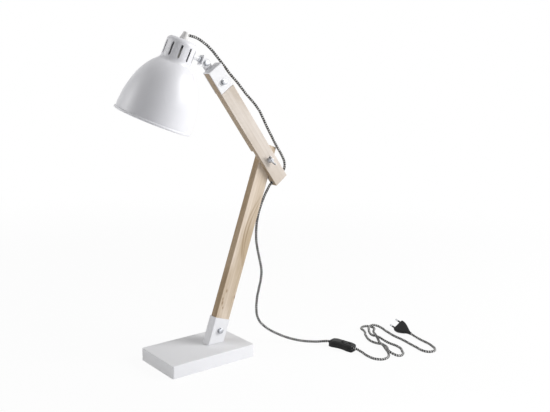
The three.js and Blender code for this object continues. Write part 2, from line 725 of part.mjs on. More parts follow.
function bellCurve(radius, rise, count) {
  const points = [];
  const top = Math.acos(CAP_RADIUS / radius);
  for (let i = 0; i <= count; i += 1) {
    const turn = (top * i) / count;
    points.push([radius * Math.cos(turn), rise * Math.sin(turn) - BELL_RIM]);
  }
  return points;
}

function bell() {
  const outer = bellCurve(BELL_RADIUS, BELL_RISE, BELL_STEPS);
  const inner = bellCurve(BELL_RADIUS - SHADE_WALL, BELL_RISE - SHADE_WALL, BELL_STEPS)
    .filter(([, z]) => z < BELL_TOP - SHADE_WALL);
  const hole = HOLDER_DIAMETER / 2 + 2 * GAP;
  const innerTop = BELL_TOP - SHADE_WALL;
  const profile = [
    ...outer, [hole, BELL_TOP], [hole, innerTop],
    [CAP_RADIUS - SHADE_WALL / 2, innerTop], ...inner.reverse(), outer[0],
  ];
  const bead = [];
  for (let i = 0; i <= CORNER_STEPS * 2; i += 1) {
    const turn = (i * Math.PI) / CORNER_STEPS;
    bead.push([
      BELL_RADIUS + (BEAD_DIAMETER / 2) * Math.cos(turn),
      -BELL_RIM + (BEAD_DIAMETER / 2) * Math.sin(turn),
    ]);
  }
  return turned(profile, FINE_SIDES).add(turned(bead, FINE_SIDES));
}

function cap() {
  const shoulder = [];
  const innerShoulder = [];
  for (let i = 0; i <= CORNER_STEPS; i += 1) {
    const turn = (QUARTER * i) / CORNER_STEPS;
    const [side, up] = [Math.cos(turn), Math.sin(turn)];
    const centre = [CAP_RADIUS - CAP_SHOULDER, CAP_TOP - CAP_SHOULDER];
    const inner = CAP_SHOULDER - SHADE_WALL;
    shoulder.push([centre[0] + CAP_SHOULDER * side, centre[1] + CAP_SHOULDER * up]);
    innerShoulder.push([centre[0] + inner * side, centre[1] + inner * up]);
  }
  const hole = TUBE_HOLE / 2;
  const flare = capFlare();
  const shell = turned([
    ...flare, ...shoulder, [hole, CAP_TOP], [hole, CAP_TOP - SHADE_WALL],
    ...innerShoulder.reverse(), [CAP_RADIUS - SHADE_WALL, CAP_BOTTOM], [CAP_RADIUS, CAP_BOTTOM],
    flare[0],
  ], FINE_SIDES);
  const boltCut = alongX(rod(BOLT_HOLE, [-CAP_RADIUS - OVERRUN, OVERRUN - CAP_RADIUS]));
  return slotCuts().reduce((rest, cut) => rest.subtract(cut), shell.subtract(boltCut));
}

// The hollow curve from the cap's side out to its lip, which lies on the bell.
function capFlare() {
  const lip = bellHeight(CAP_RADIUS + CAP_FLARE) + GAP;
  const waist = CAP_BOTTOM + CAP_FLARE_HEIGHT;
  const drop = waist - lip - CAP_LIP;
  const whole = rad(CAP_FLARE_DEG);
  const points = [[CAP_RADIUS + CAP_FLARE, lip]];
  for (let i = CORNER_STEPS; i >= 0; i -= 1) {
    const turn = (whole * i) / CORNER_STEPS;
    const out = (1 - Math.cos(turn)) / (1 - Math.cos(whole));
    const down = Math.sin(turn) / Math.sin(whole);
    points.push([CAP_RADIUS + CAP_FLARE * out, waist - drop * down]);
  }
  return points;
}

function slotCuts() {
  const shape = new THREE.Shape();
  const straight = (SLOT_LENGTH - SLOT_WIDTH) / 2;
  shape.absarc(straight, 0, SLOT_WIDTH / 2, -QUARTER, QUARTER);
  shape.absarc(-straight, 0, SLOT_WIDTH / 2, QUARTER, 3 * QUARTER);
  const one = prism(shape, [CAP_RADIUS - OVERRUN, CAP_RADIUS + OVERRUN])
    .rotate(0, 90, 0)
    .translate(0, 0, -SLOT_DROP);
  const cuts = [];
  for (let i = 0; i < SLOT_PLACES; i += 1) {
    if (i !== SLOT_LEFT_OUT) cuts.push(one.rotate(0, 0, SLOT_FIRST_DEG + (360 * i) / SLOT_PLACES));
  }
  return cuts;
}

function cordGrip() {
  const bottom = CAP_TOP + GAP;
  const top = bottom + GRIP_HEIGHT;
  const body = turned([
    [0, bottom], [GRIP_BASE / 2, bottom], [GRIP_TOP / 2, top - GRIP_EDGE],
    [GRIP_TOP / 2 - GRIP_EDGE, top], [0, top],
  ]);
  const pocket = rod(CORD_CLEAR_HOLE, [-GRIP_BASE, GRIP_POCKET - GRIP_TOP / 2]);
  return body
    .subtract(alongX(pocket).translate(0, 0, bottom + GRIP_EXIT))
    .subtract(rod(TUBE_HOLE, [bottom - OVERRUN, bottom + TUBE_INTO_GRIP]));
}

function threadedTube() {
  const z = [HOLDER_TOP - TUBE_INTO_HOLDER + GAP, CAP_TOP + TUBE_INTO_GRIP];
  return collar(TUBE_DIAMETER, TUBE_BORE, z);
}

function tubeNut() {
  const top = CAP_TOP - SHADE_WALL - GAP;
  const z = [top - TUBE_NUT_HEIGHT, top];
  return hexagon(TUBE_NUT_FLATS, z)
    .subtract(rod(TUBE_HOLE, [z[0] - OVERRUN, z[1] + OVERRUN], ROUND_SIDES));
}

function holderBody() {
  const flange = BELL_TOP + GAP;
  const roof = HOLDER_TOP - TUBE_INTO_HOLDER;
  const boreTop = SLEEVE_LENGTH - HOLDER_MOUTH + GAP;
  return rod(HOLDER_DIAMETER, [-HOLDER_MOUTH, HOLDER_TOP], ROUND_SIDES)
    .add(rod(HOLDER_FLANGE_DIAMETER, [flange, flange + HOLDER_FLANGE], ROUND_SIDES))
    .subtract(rod(HOLDER_BORE, [-HOLDER_MOUTH - OVERRUN, boreTop], ROUND_SIDES))
    .subtract(rod(TUBE_BORE, [-HOLDER_MOUTH, HOLDER_TOP]))
    .subtract(rod(TUBE_HOLE, [roof, HOLDER_TOP + OVERRUN]));
}

function holderRing() {
  const top = BELL_TOP - SHADE_WALL - GAP;
  return collar(RING_DIAMETER, HOLDER_DIAMETER + 2 * GAP, [top - RING_HEIGHT, top]);
}

function holderSleeve() {
  const inner = BULB_CAP_DIAMETER + 2 * GAP;
  const z = [-HOLDER_MOUTH, SLEEVE_LENGTH - HOLDER_MOUTH - CONTACT_THICKNESS - GAP];
  return rod(inner + 2 * SLEEVE_WALL, z, ROUND_SIDES).subtract(
    rod(inner, [z[0] - OVERRUN, z[1] + OVERRUN], ROUND_SIDES),
  );
}

function holderContact() {
  const top = SLEEVE_LENGTH - HOLDER_MOUTH;
  const half = CONTACT_WIDTH / 2;
  return block([-half, half], [-half, half], [top - CONTACT_THICKNESS, top]);
}

function bulbCap() {
  const top = SLEEVE_LENGTH - HOLDER_MOUTH - CONTACT_THICKNESS - GAP;
  const seat = top - BULB_CONTACT_HEIGHT - BULB_CAP_LENGTH;
  const sides = BULB_CAP_SHARES.map(([r, z]) => [
    (r * BULB_CAP_DIAMETER) / 2, seat + z * BULB_CAP_LENGTH,
  ]);
  const shell = turned([[0, seat], ...sides, [0, seat + BULB_CAP_LENGTH]]);
  return shell.add(rod(BULB_CONTACT_DIAMETER, [seat + BULB_CAP_LENGTH / 2, top]));
}

function bulbGlass() {
  const top = SLEEVE_LENGTH - HOLDER_MOUTH - CONTACT_THICKNESS - 2 * GAP
    - BULB_CONTACT_HEIGHT - BULB_CAP_LENGTH;
  const centre = BULB_DIAMETER / 2 - BULB_END;
  const sweep = (radius) => {
    const meet = Math.acos(BULB_NECK / 2 / radius);
    const points = [];
    for (let i = 0; i <= BELL_STEPS; i += 1) {
      const turn = meet - ((meet + QUARTER) * i) / BELL_STEPS;
      points.push([radius * Math.cos(turn), centre + radius * Math.sin(turn)]);
    }
    points[BELL_STEPS][0] = 0;
    return points;
  };
  const outer = sweep(BULB_DIAMETER / 2);
  const inner = sweep(BULB_DIAMETER / 2 - BULB_WALL)
    .map(([r, z]) => [Math.min(r, BULB_DIAMETER / 2 - BULB_WALL), z]);
  const neck = [BULB_NECK / 2, top];
  const neckInside = [BULB_NECK / 2 - BULB_WALL, top];
  inner[0][0] = neckInside[0];
  return turned([neck, ...outer, ...inner.reverse(), neckInside, neck]);
}

// Switch: X along the cord, Z up from the floor
function switchOutline(inset) {
  const side = SWITCH_OUTLINE_SHARES.map(([x, y]) => [
    x * (SWITCH_LENGTH - 2 * inset), y * (SWITCH_WIDTH - 2 * inset),
  ]);
  return outline([...side, ...side.map(([x, y]) => [x, -y]).reverse()]);
}

function switchCordCuts() {
  const half = SWITCH_LENGTH / 2;
  const cut = alongX(rod(CORD_CLEAR_HOLE, [-half - OVERRUN, CORD_POCKET - half]));
  return cut.add(cut.rotate(0, 0, 180)).translate(0, 0, SWITCH_SPLIT);
}

function switchBase() {
  const post = rod(SWITCH_POST_DIAMETER, [SWITCH_WALL / 2, SWITCH_SPLIT], ROUND_SIDES)
    .subtract(rod(SWITCH_SCREW_DIAMETER + 2 * GAP, [SWITCH_WALL, REACH]))
    .translate(SWITCH_SCREW_ALONG, 0, 0);
  const shell = bevelledPrism(
    switchOutline(0), [0, 2 * SWITCH_SPLIT], SWITCH_FOOT_BEVEL,
  ).subtract(block([-REACH, REACH], [-REACH, REACH], [SWITCH_SPLIT, REACH]));
  return shell
    .subtract(prism(switchOutline(CORD_POCKET), [SWITCH_WALL, REACH]))
    .add(post)
    .subtract(switchCordCuts());
}

function switchCover() {
  const bottom = SWITCH_SPLIT + GAP;
  const shell = bevelledPrism(switchOutline(0), [-SWITCH_HEIGHT, SWITCH_HEIGHT], SWITCH_BEVEL)
    .subtract(block([-REACH, REACH], [-REACH, REACH], [-REACH, bottom]));
  const hollow = prism(
    switchOutline(CORD_POCKET + SWITCH_WALL), [-REACH, SWITCH_HEIGHT - SWITCH_WALL],
  ).subtract(rod(SWITCH_POST_DIAMETER, [-REACH, REACH], ROUND_SIDES)
    .translate(SWITCH_SCREW_ALONG, 0, 0));
  const half = [ROCKER_LENGTH / 2 + ROCKER_CLEARANCE, ROCKER_WIDTH / 2 + ROCKER_CLEARANCE];
  const window = block([-half[0], half[0]], [-half[1], half[1]], [bottom, REACH])
    .translate(ROCKER_ALONG, 0, 0);
  const headSeat = SWITCH_HEIGHT - SWITCH_SCREW_SINK - SWITCH_SCREW_HEAD_HEIGHT;
  const screwCut = rod(SWITCH_SCREW_DIAMETER + 2 * GAP, [-REACH, REACH])
    .add(rod(SWITCH_SCREW_HEAD + 2 * GAP, [headSeat - GAP, REACH]))
    .translate(SWITCH_SCREW_ALONG, 0, 0);
  return shell
    .subtract(hollow)
    .subtract(window)
    .subtract(screwCut)
    .subtract(pinSockets())
    .subtract(switchCordCuts());
}

function pinSockets() {
  const reach = ROCKER_WIDTH / 2 + ROCKER_PIN_LENGTH + GAP;
  return rod(ROCKER_PIN_DIAMETER + 2 * GAP, [-reach, reach])
    .rotate(90, 0, 0)
    .translate(ROCKER_ALONG, 0, ROCKER_PIN_HEIGHT);
}

// The rocker about its own pin: two faces that meet in a shallow valley
function rocker() {
  const half = ROCKER_LENGTH / 2;
  const valley = SWITCH_HEIGHT - ROCKER_PIN_HEIGHT;
  const shape = outline([
    [-half, 0], [-half / 2, -ROCKER_DEPTH], [half / 2, -ROCKER_DEPTH], [half, 0],
    [half, valley + ROCKER_RISE / 2], [0, valley], [-half, valley + ROCKER_RISE / 2],
  ]);
  const side = ROCKER_WIDTH / 2;
  const reach = side + ROCKER_PIN_LENGTH;
  return prism(shape, [-side, side])
    .add(rod(ROCKER_PIN_DIAMETER, [-reach, reach]))
    .rotate(90, 0, 0);
}

function contactBlock() {
  const [x, y] = [CONTACT_BLOCK_LENGTH / 2, CONTACT_BLOCK_WIDTH / 2];
  const bottom = SWITCH_WALL + GAP;
  return block([-x, x], [-y, y], [bottom, bottom + CONTACT_BLOCK_HEIGHT]);
}

function switchScrew() {
  const seat = SWITCH_HEIGHT - SWITCH_SCREW_SINK - SWITCH_SCREW_HEAD_HEIGHT;
  return rod(SWITCH_SCREW_HEAD, [seat, seat + SWITCH_SCREW_HEAD_HEIGHT])
    .add(rod(SWITCH_SCREW_DIAMETER, [SWITCH_WALL + GAP, seat + GAP]));
}

// Plug: Y out along the pins, X across them, origin in the middle of the face
function plugBody() {
  const side = PLUG_OUTLINE_SHARES.map(([x, y]) => [x * PLUG_WIDTH, y * PLUG_LENGTH]);
  const shape = outline([...side, ...side.map(([x, y]) => [-x, y]).reverse()]);
  const half = PLUG_THICKNESS / 2;
  const edge = PLUG_SIDE_SHARES.map(([x, y]) => [x * PLUG_THICKNESS, y * PLUG_LENGTH]);
  const profile = outline([...edge, ...edge.map(([x, y]) => [-x, y]).reverse()]);
  const body = bevelledPrism(shape, [-half, half], PLUG_BEVEL)
    .intersect(prism(profile, [-PLUG_WIDTH, PLUG_WIDTH]).rotate(0, 90, 0));
  const sleeves = plugPins(rod(PIN_DIAMETER, [-PLUG_BEVEL * 2, PIN_SLEEVE]));
  const bores = plugPins(rod(PIN_ROOT_DIAMETER + 2 * GAP, [-PIN_ROOT + PIN_SLEEVE - GAP, REACH]));
  const cordCut = rod(CORD_CLEAR_HOLE, [-REACH, CORD_POCKET - PLUG_LENGTH]).rotate(-90, 0, 0);
  return body
    .add(sleeves[0])
    .add(sleeves[1])
    .subtract(bores[0])
    .subtract(bores[1])
    .subtract(cordCut);
}

function plugPins(body) {
  const upright = body.rotate(-90, 0, 0);
  return [-PIN_SPACING / 2, PIN_SPACING / 2].map((x) => upright.translate(x, 0, 0));
}

function plugPin() {
  const tip = rod(PIN_DIAMETER, [PIN_SLEEVE + GAP, PIN_SLEEVE + PIN_TIP]);
  return tip.add(rod(PIN_ROOT_DIAMETER, [PIN_SLEEVE - PIN_ROOT, PIN_SLEEVE + PIN_TIP / 2]));
}

// Puts the pieces of each group in place.
function addBase(lamp) {
  piece("base_cover", baseCover(), WHITE_PAINT, lamp);
  piece("base_weight", baseWeight(), CAST_WEIGHT, lamp);
  piece("base_pad", basePad(), SOFT_PAD, lamp);
  baseScrewPlaces().forEach((x, i) => {
    piece(`bracket_screw_${i + 1}`, baseScrew(), NICKEL, group(lamp, [x, 0, 0]));
  });
}

function addFastener(name, parts, parent, place) {
  const at = group(parent, place);
  piece(name, parts.bolt, NICKEL, at);
  piece(`${name}_washer`, parts.washer, NICKEL, at);
  piece(`${name}_nut`, parts.nut, NICKEL, at);
}

function addLowerArm(standing) {
  const arm = group(standing, [FOOT_X, BASE_HEIGHT, 0]);
  arm.rotation.z = rad(LOWER_TILT_DEG);
  piece("base_bracket", footBracket(), WHITE_PAINT, arm);
  piece("lower_arm", lowerArm(), WOOD, arm);
  addFastener("base_bolt", footBolt(), arm, [FOOT_BOLT_ALONG, 0, 0]);
  piece("elbow_bolt", elbowBolt(), NICKEL, group(arm, [LOWER_LENGTH, 0, 0]));
}

function addUpperArm(standing) {
  const lean = rad(LOWER_TILT_DEG);
  const pivot = [
    FOOT_X + LOWER_LENGTH * Math.cos(lean), BASE_HEIGHT + LOWER_LENGTH * Math.sin(lean), 0,
  ];
  const fixed = group(standing, pivot);
  piece("elbow_washer", washer(UPPER_FRONT + GAP), NICKEL, fixed);
  piece("wing_nut", wingNut(), NICKEL, fixed);
  const arm = group(standing, pivot);
  arm.rotation.z = rad(UPPER_TILT_DEG);
  piece("upper_arm", upperArm(), WOOD, arm);
  piece("head_bracket", headBracket(), WHITE_PAINT, arm);
  addFastener("head_bolt", headBolt(), arm, [HEAD_BOLT_ALONG, 0, 0]);
  addFastener("tilt_bolt", tiltBolt(), arm, [TILT_ALONG, EAR_DROP, 0]);
  return arm;
}

function addLink(arm) {
  const link = group(arm, [TILT_ALONG, EAR_DROP, 0]);
  link.rotation.z = rad(LINK_TURN_DEG);
  piece("tilt_bracket", tiltBracket(), WHITE_PAINT, link);
  piece("swivel_bolt", swivelBolt(), NICKEL, link);
  piece("swivel_washer", onSwivelAxis(washer(LINK_REACH + GAP)), NICKEL, link);
  piece("swivel_jam_nut", swivelJamNut(), NICKEL, link);
  piece("swivel_inner_nut", swivelInnerNut(), NICKEL, link);
  return link;
}

function addShade(link) {
  const head = group(link, [SHADE_REACH, 0, UPPER_OFFSET]);
  head.rotation.x = QUARTER - rad(SHADE_TWIST_DEG);
  piece("shade_stem", shadeStem(), WHITE_PAINT, head);
  piece("shade", bell(), WHITE_PAINT, head);
  piece("cap", cap(), WHITE_PAINT, head);
  piece("cord_grip", cordGrip(), WHITE_PLASTIC, head);
  piece("threaded_tube", threadedTube(), NICKEL, head);
  piece("tube_nut", tubeNut(), NICKEL, head);
  piece("lampholder_body", holderBody(), PORCELAIN, head);
  piece("lampholder_ring", holderRing(), PORCELAIN, head);
  piece("lampholder_sleeve", holderSleeve(), BRASS, head);
  piece("lampholder_contact", holderContact(), BRASS, head);
  piece("bulb_cap", bulbCap(), NICKEL, head);
  piece("bulb_glass", bulbGlass(), GLASS, head);
}

function addSwitch(lamp) {
  const place = group(lamp, [SWITCH_X, SWITCH_Y, 0]);
  place.rotation.z = rad(SWITCH_TURN_DEG);
  piece("switch_base", switchBase(), BLACK_PLASTIC, place);
  piece("switch_cover", switchCover(), BLACK_PLASTIC, place);
  piece("switch_contacts", contactBlock(), BRASS, place);
  piece("switch_screw", switchScrew(), NICKEL, group(place, [SWITCH_SCREW_ALONG, 0, 0]));
  const pin = group(place, [ROCKER_ALONG, 0, ROCKER_PIN_HEIGHT]);
  pin.rotation.y = rad(ROCKER_TILT_DEG);
  piece("switch_rocker", rocker(), BLACK_PLASTIC, pin);
}

function addPlug(lamp) {
  const place = group(lamp, [PLUG_X, PLUG_Y, PLUG_Z]);
  place.rotation.set(
    rad(PLUG_PITCH_DEG), -rad(PLUG_ROLL_DEG), rad(PLUG_HEADING_DEG) - QUARTER, "ZXY",
  );
  piece("plug_body", plugBody(), BLACK_PLASTIC, place);
  plugPins(plugPin()).forEach((pin, i) => piece(`plug_pin_${i + 1}`, pin, NICKEL, place));
}

function addCord(lamp) {
  piece("cord_head_a", cordTube(HEAD_ROUTE_A, HEAD_STEPS_A), BRAID, lamp);
  piece("cord_head_b", cordTube(HEAD_ROUTE_B, HEAD_STEPS_B), BRAID, lamp);
  piece("cord_down", cordTube(DOWN_ROUTE, DOWN_STEPS), BRAID, lamp);
  piece("cord_floor", cordTube(FLOOR_ROUTE, FLOOR_STEPS), BRAID, lamp);
}

function deskLamp() {
  const lamp = new THREE.Group();
  const standing = group(lamp);
  standing.rotation.x = QUARTER;
  addBase(lamp);
  addLowerArm(standing);
  addShade(addLink(addUpperArm(standing)));
  addSwitch(lamp);
  addPlug(lamp);
  addCord(lamp);
  return lamp;
}

export default deskLamp();
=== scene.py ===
import math

import bmesh
import bpy
from mathutils import Matrix, Vector


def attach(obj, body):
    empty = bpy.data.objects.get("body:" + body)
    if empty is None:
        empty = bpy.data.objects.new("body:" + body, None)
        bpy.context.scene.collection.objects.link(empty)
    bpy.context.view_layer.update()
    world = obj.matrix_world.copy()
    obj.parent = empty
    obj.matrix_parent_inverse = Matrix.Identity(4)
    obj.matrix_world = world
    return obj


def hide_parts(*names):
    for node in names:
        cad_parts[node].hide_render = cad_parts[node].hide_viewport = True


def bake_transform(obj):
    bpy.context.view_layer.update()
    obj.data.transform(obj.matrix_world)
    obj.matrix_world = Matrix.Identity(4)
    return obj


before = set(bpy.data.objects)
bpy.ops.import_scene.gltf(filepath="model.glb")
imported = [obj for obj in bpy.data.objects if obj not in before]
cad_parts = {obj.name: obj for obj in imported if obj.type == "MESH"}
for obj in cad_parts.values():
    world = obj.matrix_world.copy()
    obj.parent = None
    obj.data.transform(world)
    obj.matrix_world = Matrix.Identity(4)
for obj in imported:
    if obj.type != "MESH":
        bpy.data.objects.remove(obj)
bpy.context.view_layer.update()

MM = 0.001
TINY = 1e-4
FAR = 900

# Fits and numbers of steps
GAP = 0.3
SHADE_SIDES = 128
ROUND_SIDES = 48
CORNER_STEPS = 6
THREAD_SIDES = 24
THREAD_ROWS = 6
CURVE_STEPS = 4
ROUTE_STEPS = 12
BULB_THREAD_ROWS = 8
ROCKER_STEPS = 4
PLUG_ROWS = 40

# Base
BASE_LENGTH = 200
BASE_WIDTH = 126
BASE_HEIGHT = 27.5
BASE_WALL = 1.3
BASE_CORNER = 3.5
BASE_EDGE = 1.2
COVER_LIFT = 0.9

# Arms
ARM_WIDTH = 35.5
ARM_THICKNESS = 18
FOOT_X = 37.6
LOWER_TILT_DEG = 71.1
LOWER_LENGTH = 407.7
LOWER_END = 32
UPPER_TILT_DEG = 126.5
UPPER_LENGTH = 235.7
UPPER_TAIL = 58.6
UPPER_OFFSET = 11.5
NOTCH_HALF = 36.5
NOTCH_CLEARANCE = 0.4
ARM_EDGE = 0.7

# Sheet brackets
SHEET = 2
BEND = 2.6
BEND_INSIDE = 0.6
SHEET_EDGE = 0.3
FOOT_PLATE = 3
FOOT_BRACKET_LENGTH = 54.5
FOOT_BOLT_ALONG = 28.4
HEAD_BRACKET_LENGTH = 51.7
HEAD_BOLT_FROM_END = 32.3
EAR_RADIUS = 9.5
EAR_REACH = 12
EAR_DROP = 1.5
LINK_REACH = 19.5

# M6 fasteners
BOLT = 6
HEX_FLATS = 10
HEX_CHAMFER_SHARE = 0.94
CHAMFER_SLOPE = 0.58
HEAD_HEIGHT = 4
LOW_HEAD_HEIGHT = 3.5
NUT_HEIGHT = 5
WASHER_DIAMETER = 12
WASHER_THICKNESS = 1.1
THREAD_SHOW = 1.5
THREAD_PITCH = 1
THREAD_DEPTH = 0.28
DOME_DIAMETER = 16
DOME_HEIGHT = 3.3
NECK_SIZE = 6.2
NECK_LENGTH = 3
WING_HUB_BASE = 11.6
WING_HUB_TOP = 8.6
WING_HUB_HEIGHT = 8.5
WING_SPAN = 26
WING_TOP = 12.5
WING_THICKNESS = 2.2
WING_TURN_DEG = 128

# Shade, cap and link
LINK_TURN_DEG = 34.9
SHADE_REACH = 69.6
SHADE_TWIST_DEG = 11.3
STEM_DIAMETER = 10
CAP_RADIUS = 30
CAP_TOP = 22
CAP_SHOULDER = 9.5
CAP_FLARE = 3
CAP_FLARE_HEIGHT = 6
CAP_FLARE_DEG = 50
CAP_LIP = 0.15
CAP_SEAM = 0.05
SHADE_WALL = 1
SLOT_LENGTH = 26.5
SLOT_DROP = 2.2
SLOT_WIDTH = 4
SLOT_PLACES = 10
SLOT_FIRST_DEG = 30
SLOT_LEFT_OUT = 4
BELL_RADIUS = 75.5
BELL_RISE = 130
BELL_RIM = 142.5
BELL_ROWS = 28
BEAD_DIAMETER = 5
BEAD_FROM_DEG = 80
BEAD_TO_DEG = -246
GRIP_BASE = 17.4
GRIP_TOP = 10.5
GRIP_EDGE = 1.2
GRIP_HEIGHT = 15
GRIP_EXIT = 10.7
GRIP_POCKET = 3

# Lampholder and bulb
TUBE_DIAMETER = 10
TUBE_BORE = 6.5
TUBE_NUT_FLATS = 14
TUBE_NUT_HEIGHT = 4
TUBE_INTO_HOLDER = 6
TUBE_INTO_GRIP = 6
HOLDER_DIAMETER = 27
HOLDER_TOP = 6
HOLDER_MOUTH = 40
HOLDER_FLANGE_DIAMETER = 34
HOLDER_FLANGE = 3
HOLDER_SHOULDER = 2
RING_DIAMETER = 38
RING_HEIGHT = 6
RING_RIBS = 24
RING_BEVEL = 1
SLEEVE_WALL = 0.7
SLEEVE_LENGTH = 18
CONTACT_THICKNESS = 0.8
BULB_DIAMETER = 45
BULB_WALL = 1
BULB_END = 94
BULB_NECK = 12.6
BULB_CAP_DIAMETER = 13.5
BULB_CAP_LENGTH = 23
BULB_CONTACT_DIAMETER = 6
BULB_CONTACT_HEIGHT = 1.5
BULB_THREAD_PITCH = 2.8
BULB_THREAD_DEPTH = 0.55

# Cord, switch and plug
CORD_DIAMETER = 5.5
CORD_SIDES = 14
CORD_STEP = 2
CORD_HOLE = 7
CORD_HOLE_FROM_PIVOT = 49.5
CORD_CLEARANCE = 0.8
SWITCH_X = 282.9
SWITCH_Y = -143.6
SWITCH_TURN_DEG = -77.8
SWITCH_LENGTH = 60
SWITCH_WIDTH = 24
SWITCH_HEIGHT = 16.5
SWITCH_SPLIT = 8.5
SWITCH_BEVEL = 4
SWITCH_FOOT_BEVEL = 1
SWITCH_ARCH = 1.6
ROCKER_ALONG = 7
ROCKER_LENGTH = 14
ROCKER_WIDTH = 9
ROCKER_PIN_HEIGHT = 12
ROCKER_DEPTH = 3
ROCKER_RISE = 3.2
ROCKER_TILT_DEG = 8
ROCKER_CLEARANCE = 0.9
SWITCH_SCREW_ALONG = 20
SWITCH_SCREW_DIAMETER = 2.6
SWITCH_SCREW_HEAD = 4.6
SWITCH_SCREW_HEAD_HEIGHT = 1.8
SWITCH_SCREW_SINK = 2.5
SWITCH_SCREW_SLOT = 1
PLUG_X = 464.9
PLUG_Y = -145.5
PLUG_Z = 13.95
PLUG_HEADING_DEG = 84
PLUG_PITCH_DEG = 9
PLUG_ROLL_DEG = 35.8
PLUG_WIDTH = 30.5
PLUG_THICKNESS = 12
PLUG_LENGTH = 43
PLUG_BEVEL = 2.5
PLUG_BEVEL_GROWTH = 2
PLUG_POCKET = 4
PLUG_RIB_DEPTH = 0.8
PLUG_RIBS_FROM = -0.68
PLUG_RIB_PITCH_SHARE = 0.07
PIN_DIAMETER = 4
PIN_SPACING = 19
PIN_SLEEVE = 10
PIN_TIP = 9
PIN_NOSE = 1.2
PIN_SLIM = 0.05
SLEEVE_NOSE = 0.2
COLLAR_HEIGHT = 0.8
COLLAR_RIM = 1

# Outlines as shares of the sizes that they follow
WING_OUTLINE_SHARES = [
    [0.18, 0.06], [0.6, 0.2], [0.86, 0.42], [1, 0.72], [0.97, 0.93], [0.82, 1], [0.62, 0.86],
    [0.42, 0.66], [0.18, 0.6],
]
WING_LAYERS = [[0.8, -0.5], [0.94, -0.4], [1, 0], [0.94, 0.4], [0.8, 0.5]]
SWITCH_OUTLINE_SHARES = [
    [-0.5, 0.34], [-0.44, 0.44], [-0.34, 0.5], [-0.22, 0.48], [-0.08, 0.44], [0.06, 0.43],
    [0.2, 0.46], [0.32, 0.5], [0.43, 0.45], [0.5, 0.34],
]
PLUG_OUTLINE_SHARES = [
    [0.5, 0], [0.5, -0.16], [0.46, -0.3], [0.37, -0.48], [0.27, -0.63], [0.19, -0.76],
    [0.13, -0.88], [0.12, -1],
]
PLUG_SIDE_SHARES = [[0.5, 0], [0.5, -0.2], [0.4, -0.55], [0.28, -0.82], [0.27, -1]]
DOME_SHARES = [[1, 0], [1, 0.18], [0.86, 0.52], [0.6, 0.82], [0.3, 0.97], [0, 1]]
BULB_CAP_SHARES = [[1, 0], [1, 0.84], [0.55, 1]]

# Sections behind the plug's face: a share of its length, and how far the section is set in
PLUG_FACE_INSETS = [[0, 1.2], [-0.01, 0.4], [-0.03, 0]]

# The cord's route, in millimetres
HEAD_ROUTE_A = [
    [-33.3, -18, 665.3], [-30.2, -18, 664.3], [-22, -17.4, 662.9], [-12, -16, 661],
    [-3, -15.1, 657.6], [6.6, -14.2, 652.7], [17.6, -13.2, 646.2], [28.5, -12.4, 637.7],
]
HEAD_ROUTE_B = [
    [28.7, -12.4, 637.5], [38.3, -12, 628.3], [47.6, -11.7, 618.8], [61.2, -11.5, 605],
    [72.1, -11.5, 593.1], [88.8, -11.5, 577.9], [113.6, -11.5, 552.2], [132.4, -11.5, 535],
    [146.6, -11.5, 519.4], [156.4, -11.5, 504.3], [168.8, -11.5, 483], [181.1, -11.5, 463.6],
    [193.8, -11.5, 443.8], [206.8, -11.5, 426], [216, -11.5, 411], [219.5, -11.5, 399],
    [217.5, -11.5, 389.5], [212.3, -11.5, 383.2], [205.5, -11.5, 378.1], [199.3, -11.5, 373.5],
]
DOWN_ROUTE = [
    [199, -11.5, 373.3], [191, -11.5, 367.4], [182, -11.3, 360.7], [170.2, -10.2, 343.5],
    [161.5, -8.1, 323.8], [154.8, -6.3, 304.5], [149.3, -5.2, 281.3], [147, -5.2, 258.2],
    [146.9, -6.2, 236], [149.8, -8, 214], [154.4, -9.8, 191], [157.9, -11, 170],
    [156.3, -11.6, 150], [150.9, -11.8, 130], [145.8, -12.2, 110], [143.2, -13, 88],
    [144.2, -14.5, 69.5], [150, -16.5, 55], [161.5, -19.5, 41.8], [176, -24, 30],
    [193, -31.5, 19.5], [210, -41.5, 11], [227, -55.2, 5.5], [240, -66.5, 3.3],
    [250.5, -76.5, 3], [260.5, -87.5, 3.8], [268.5, -98, 6], [273.6, -107.8, 8],
    [277.3, -117.8, 8.5],
]
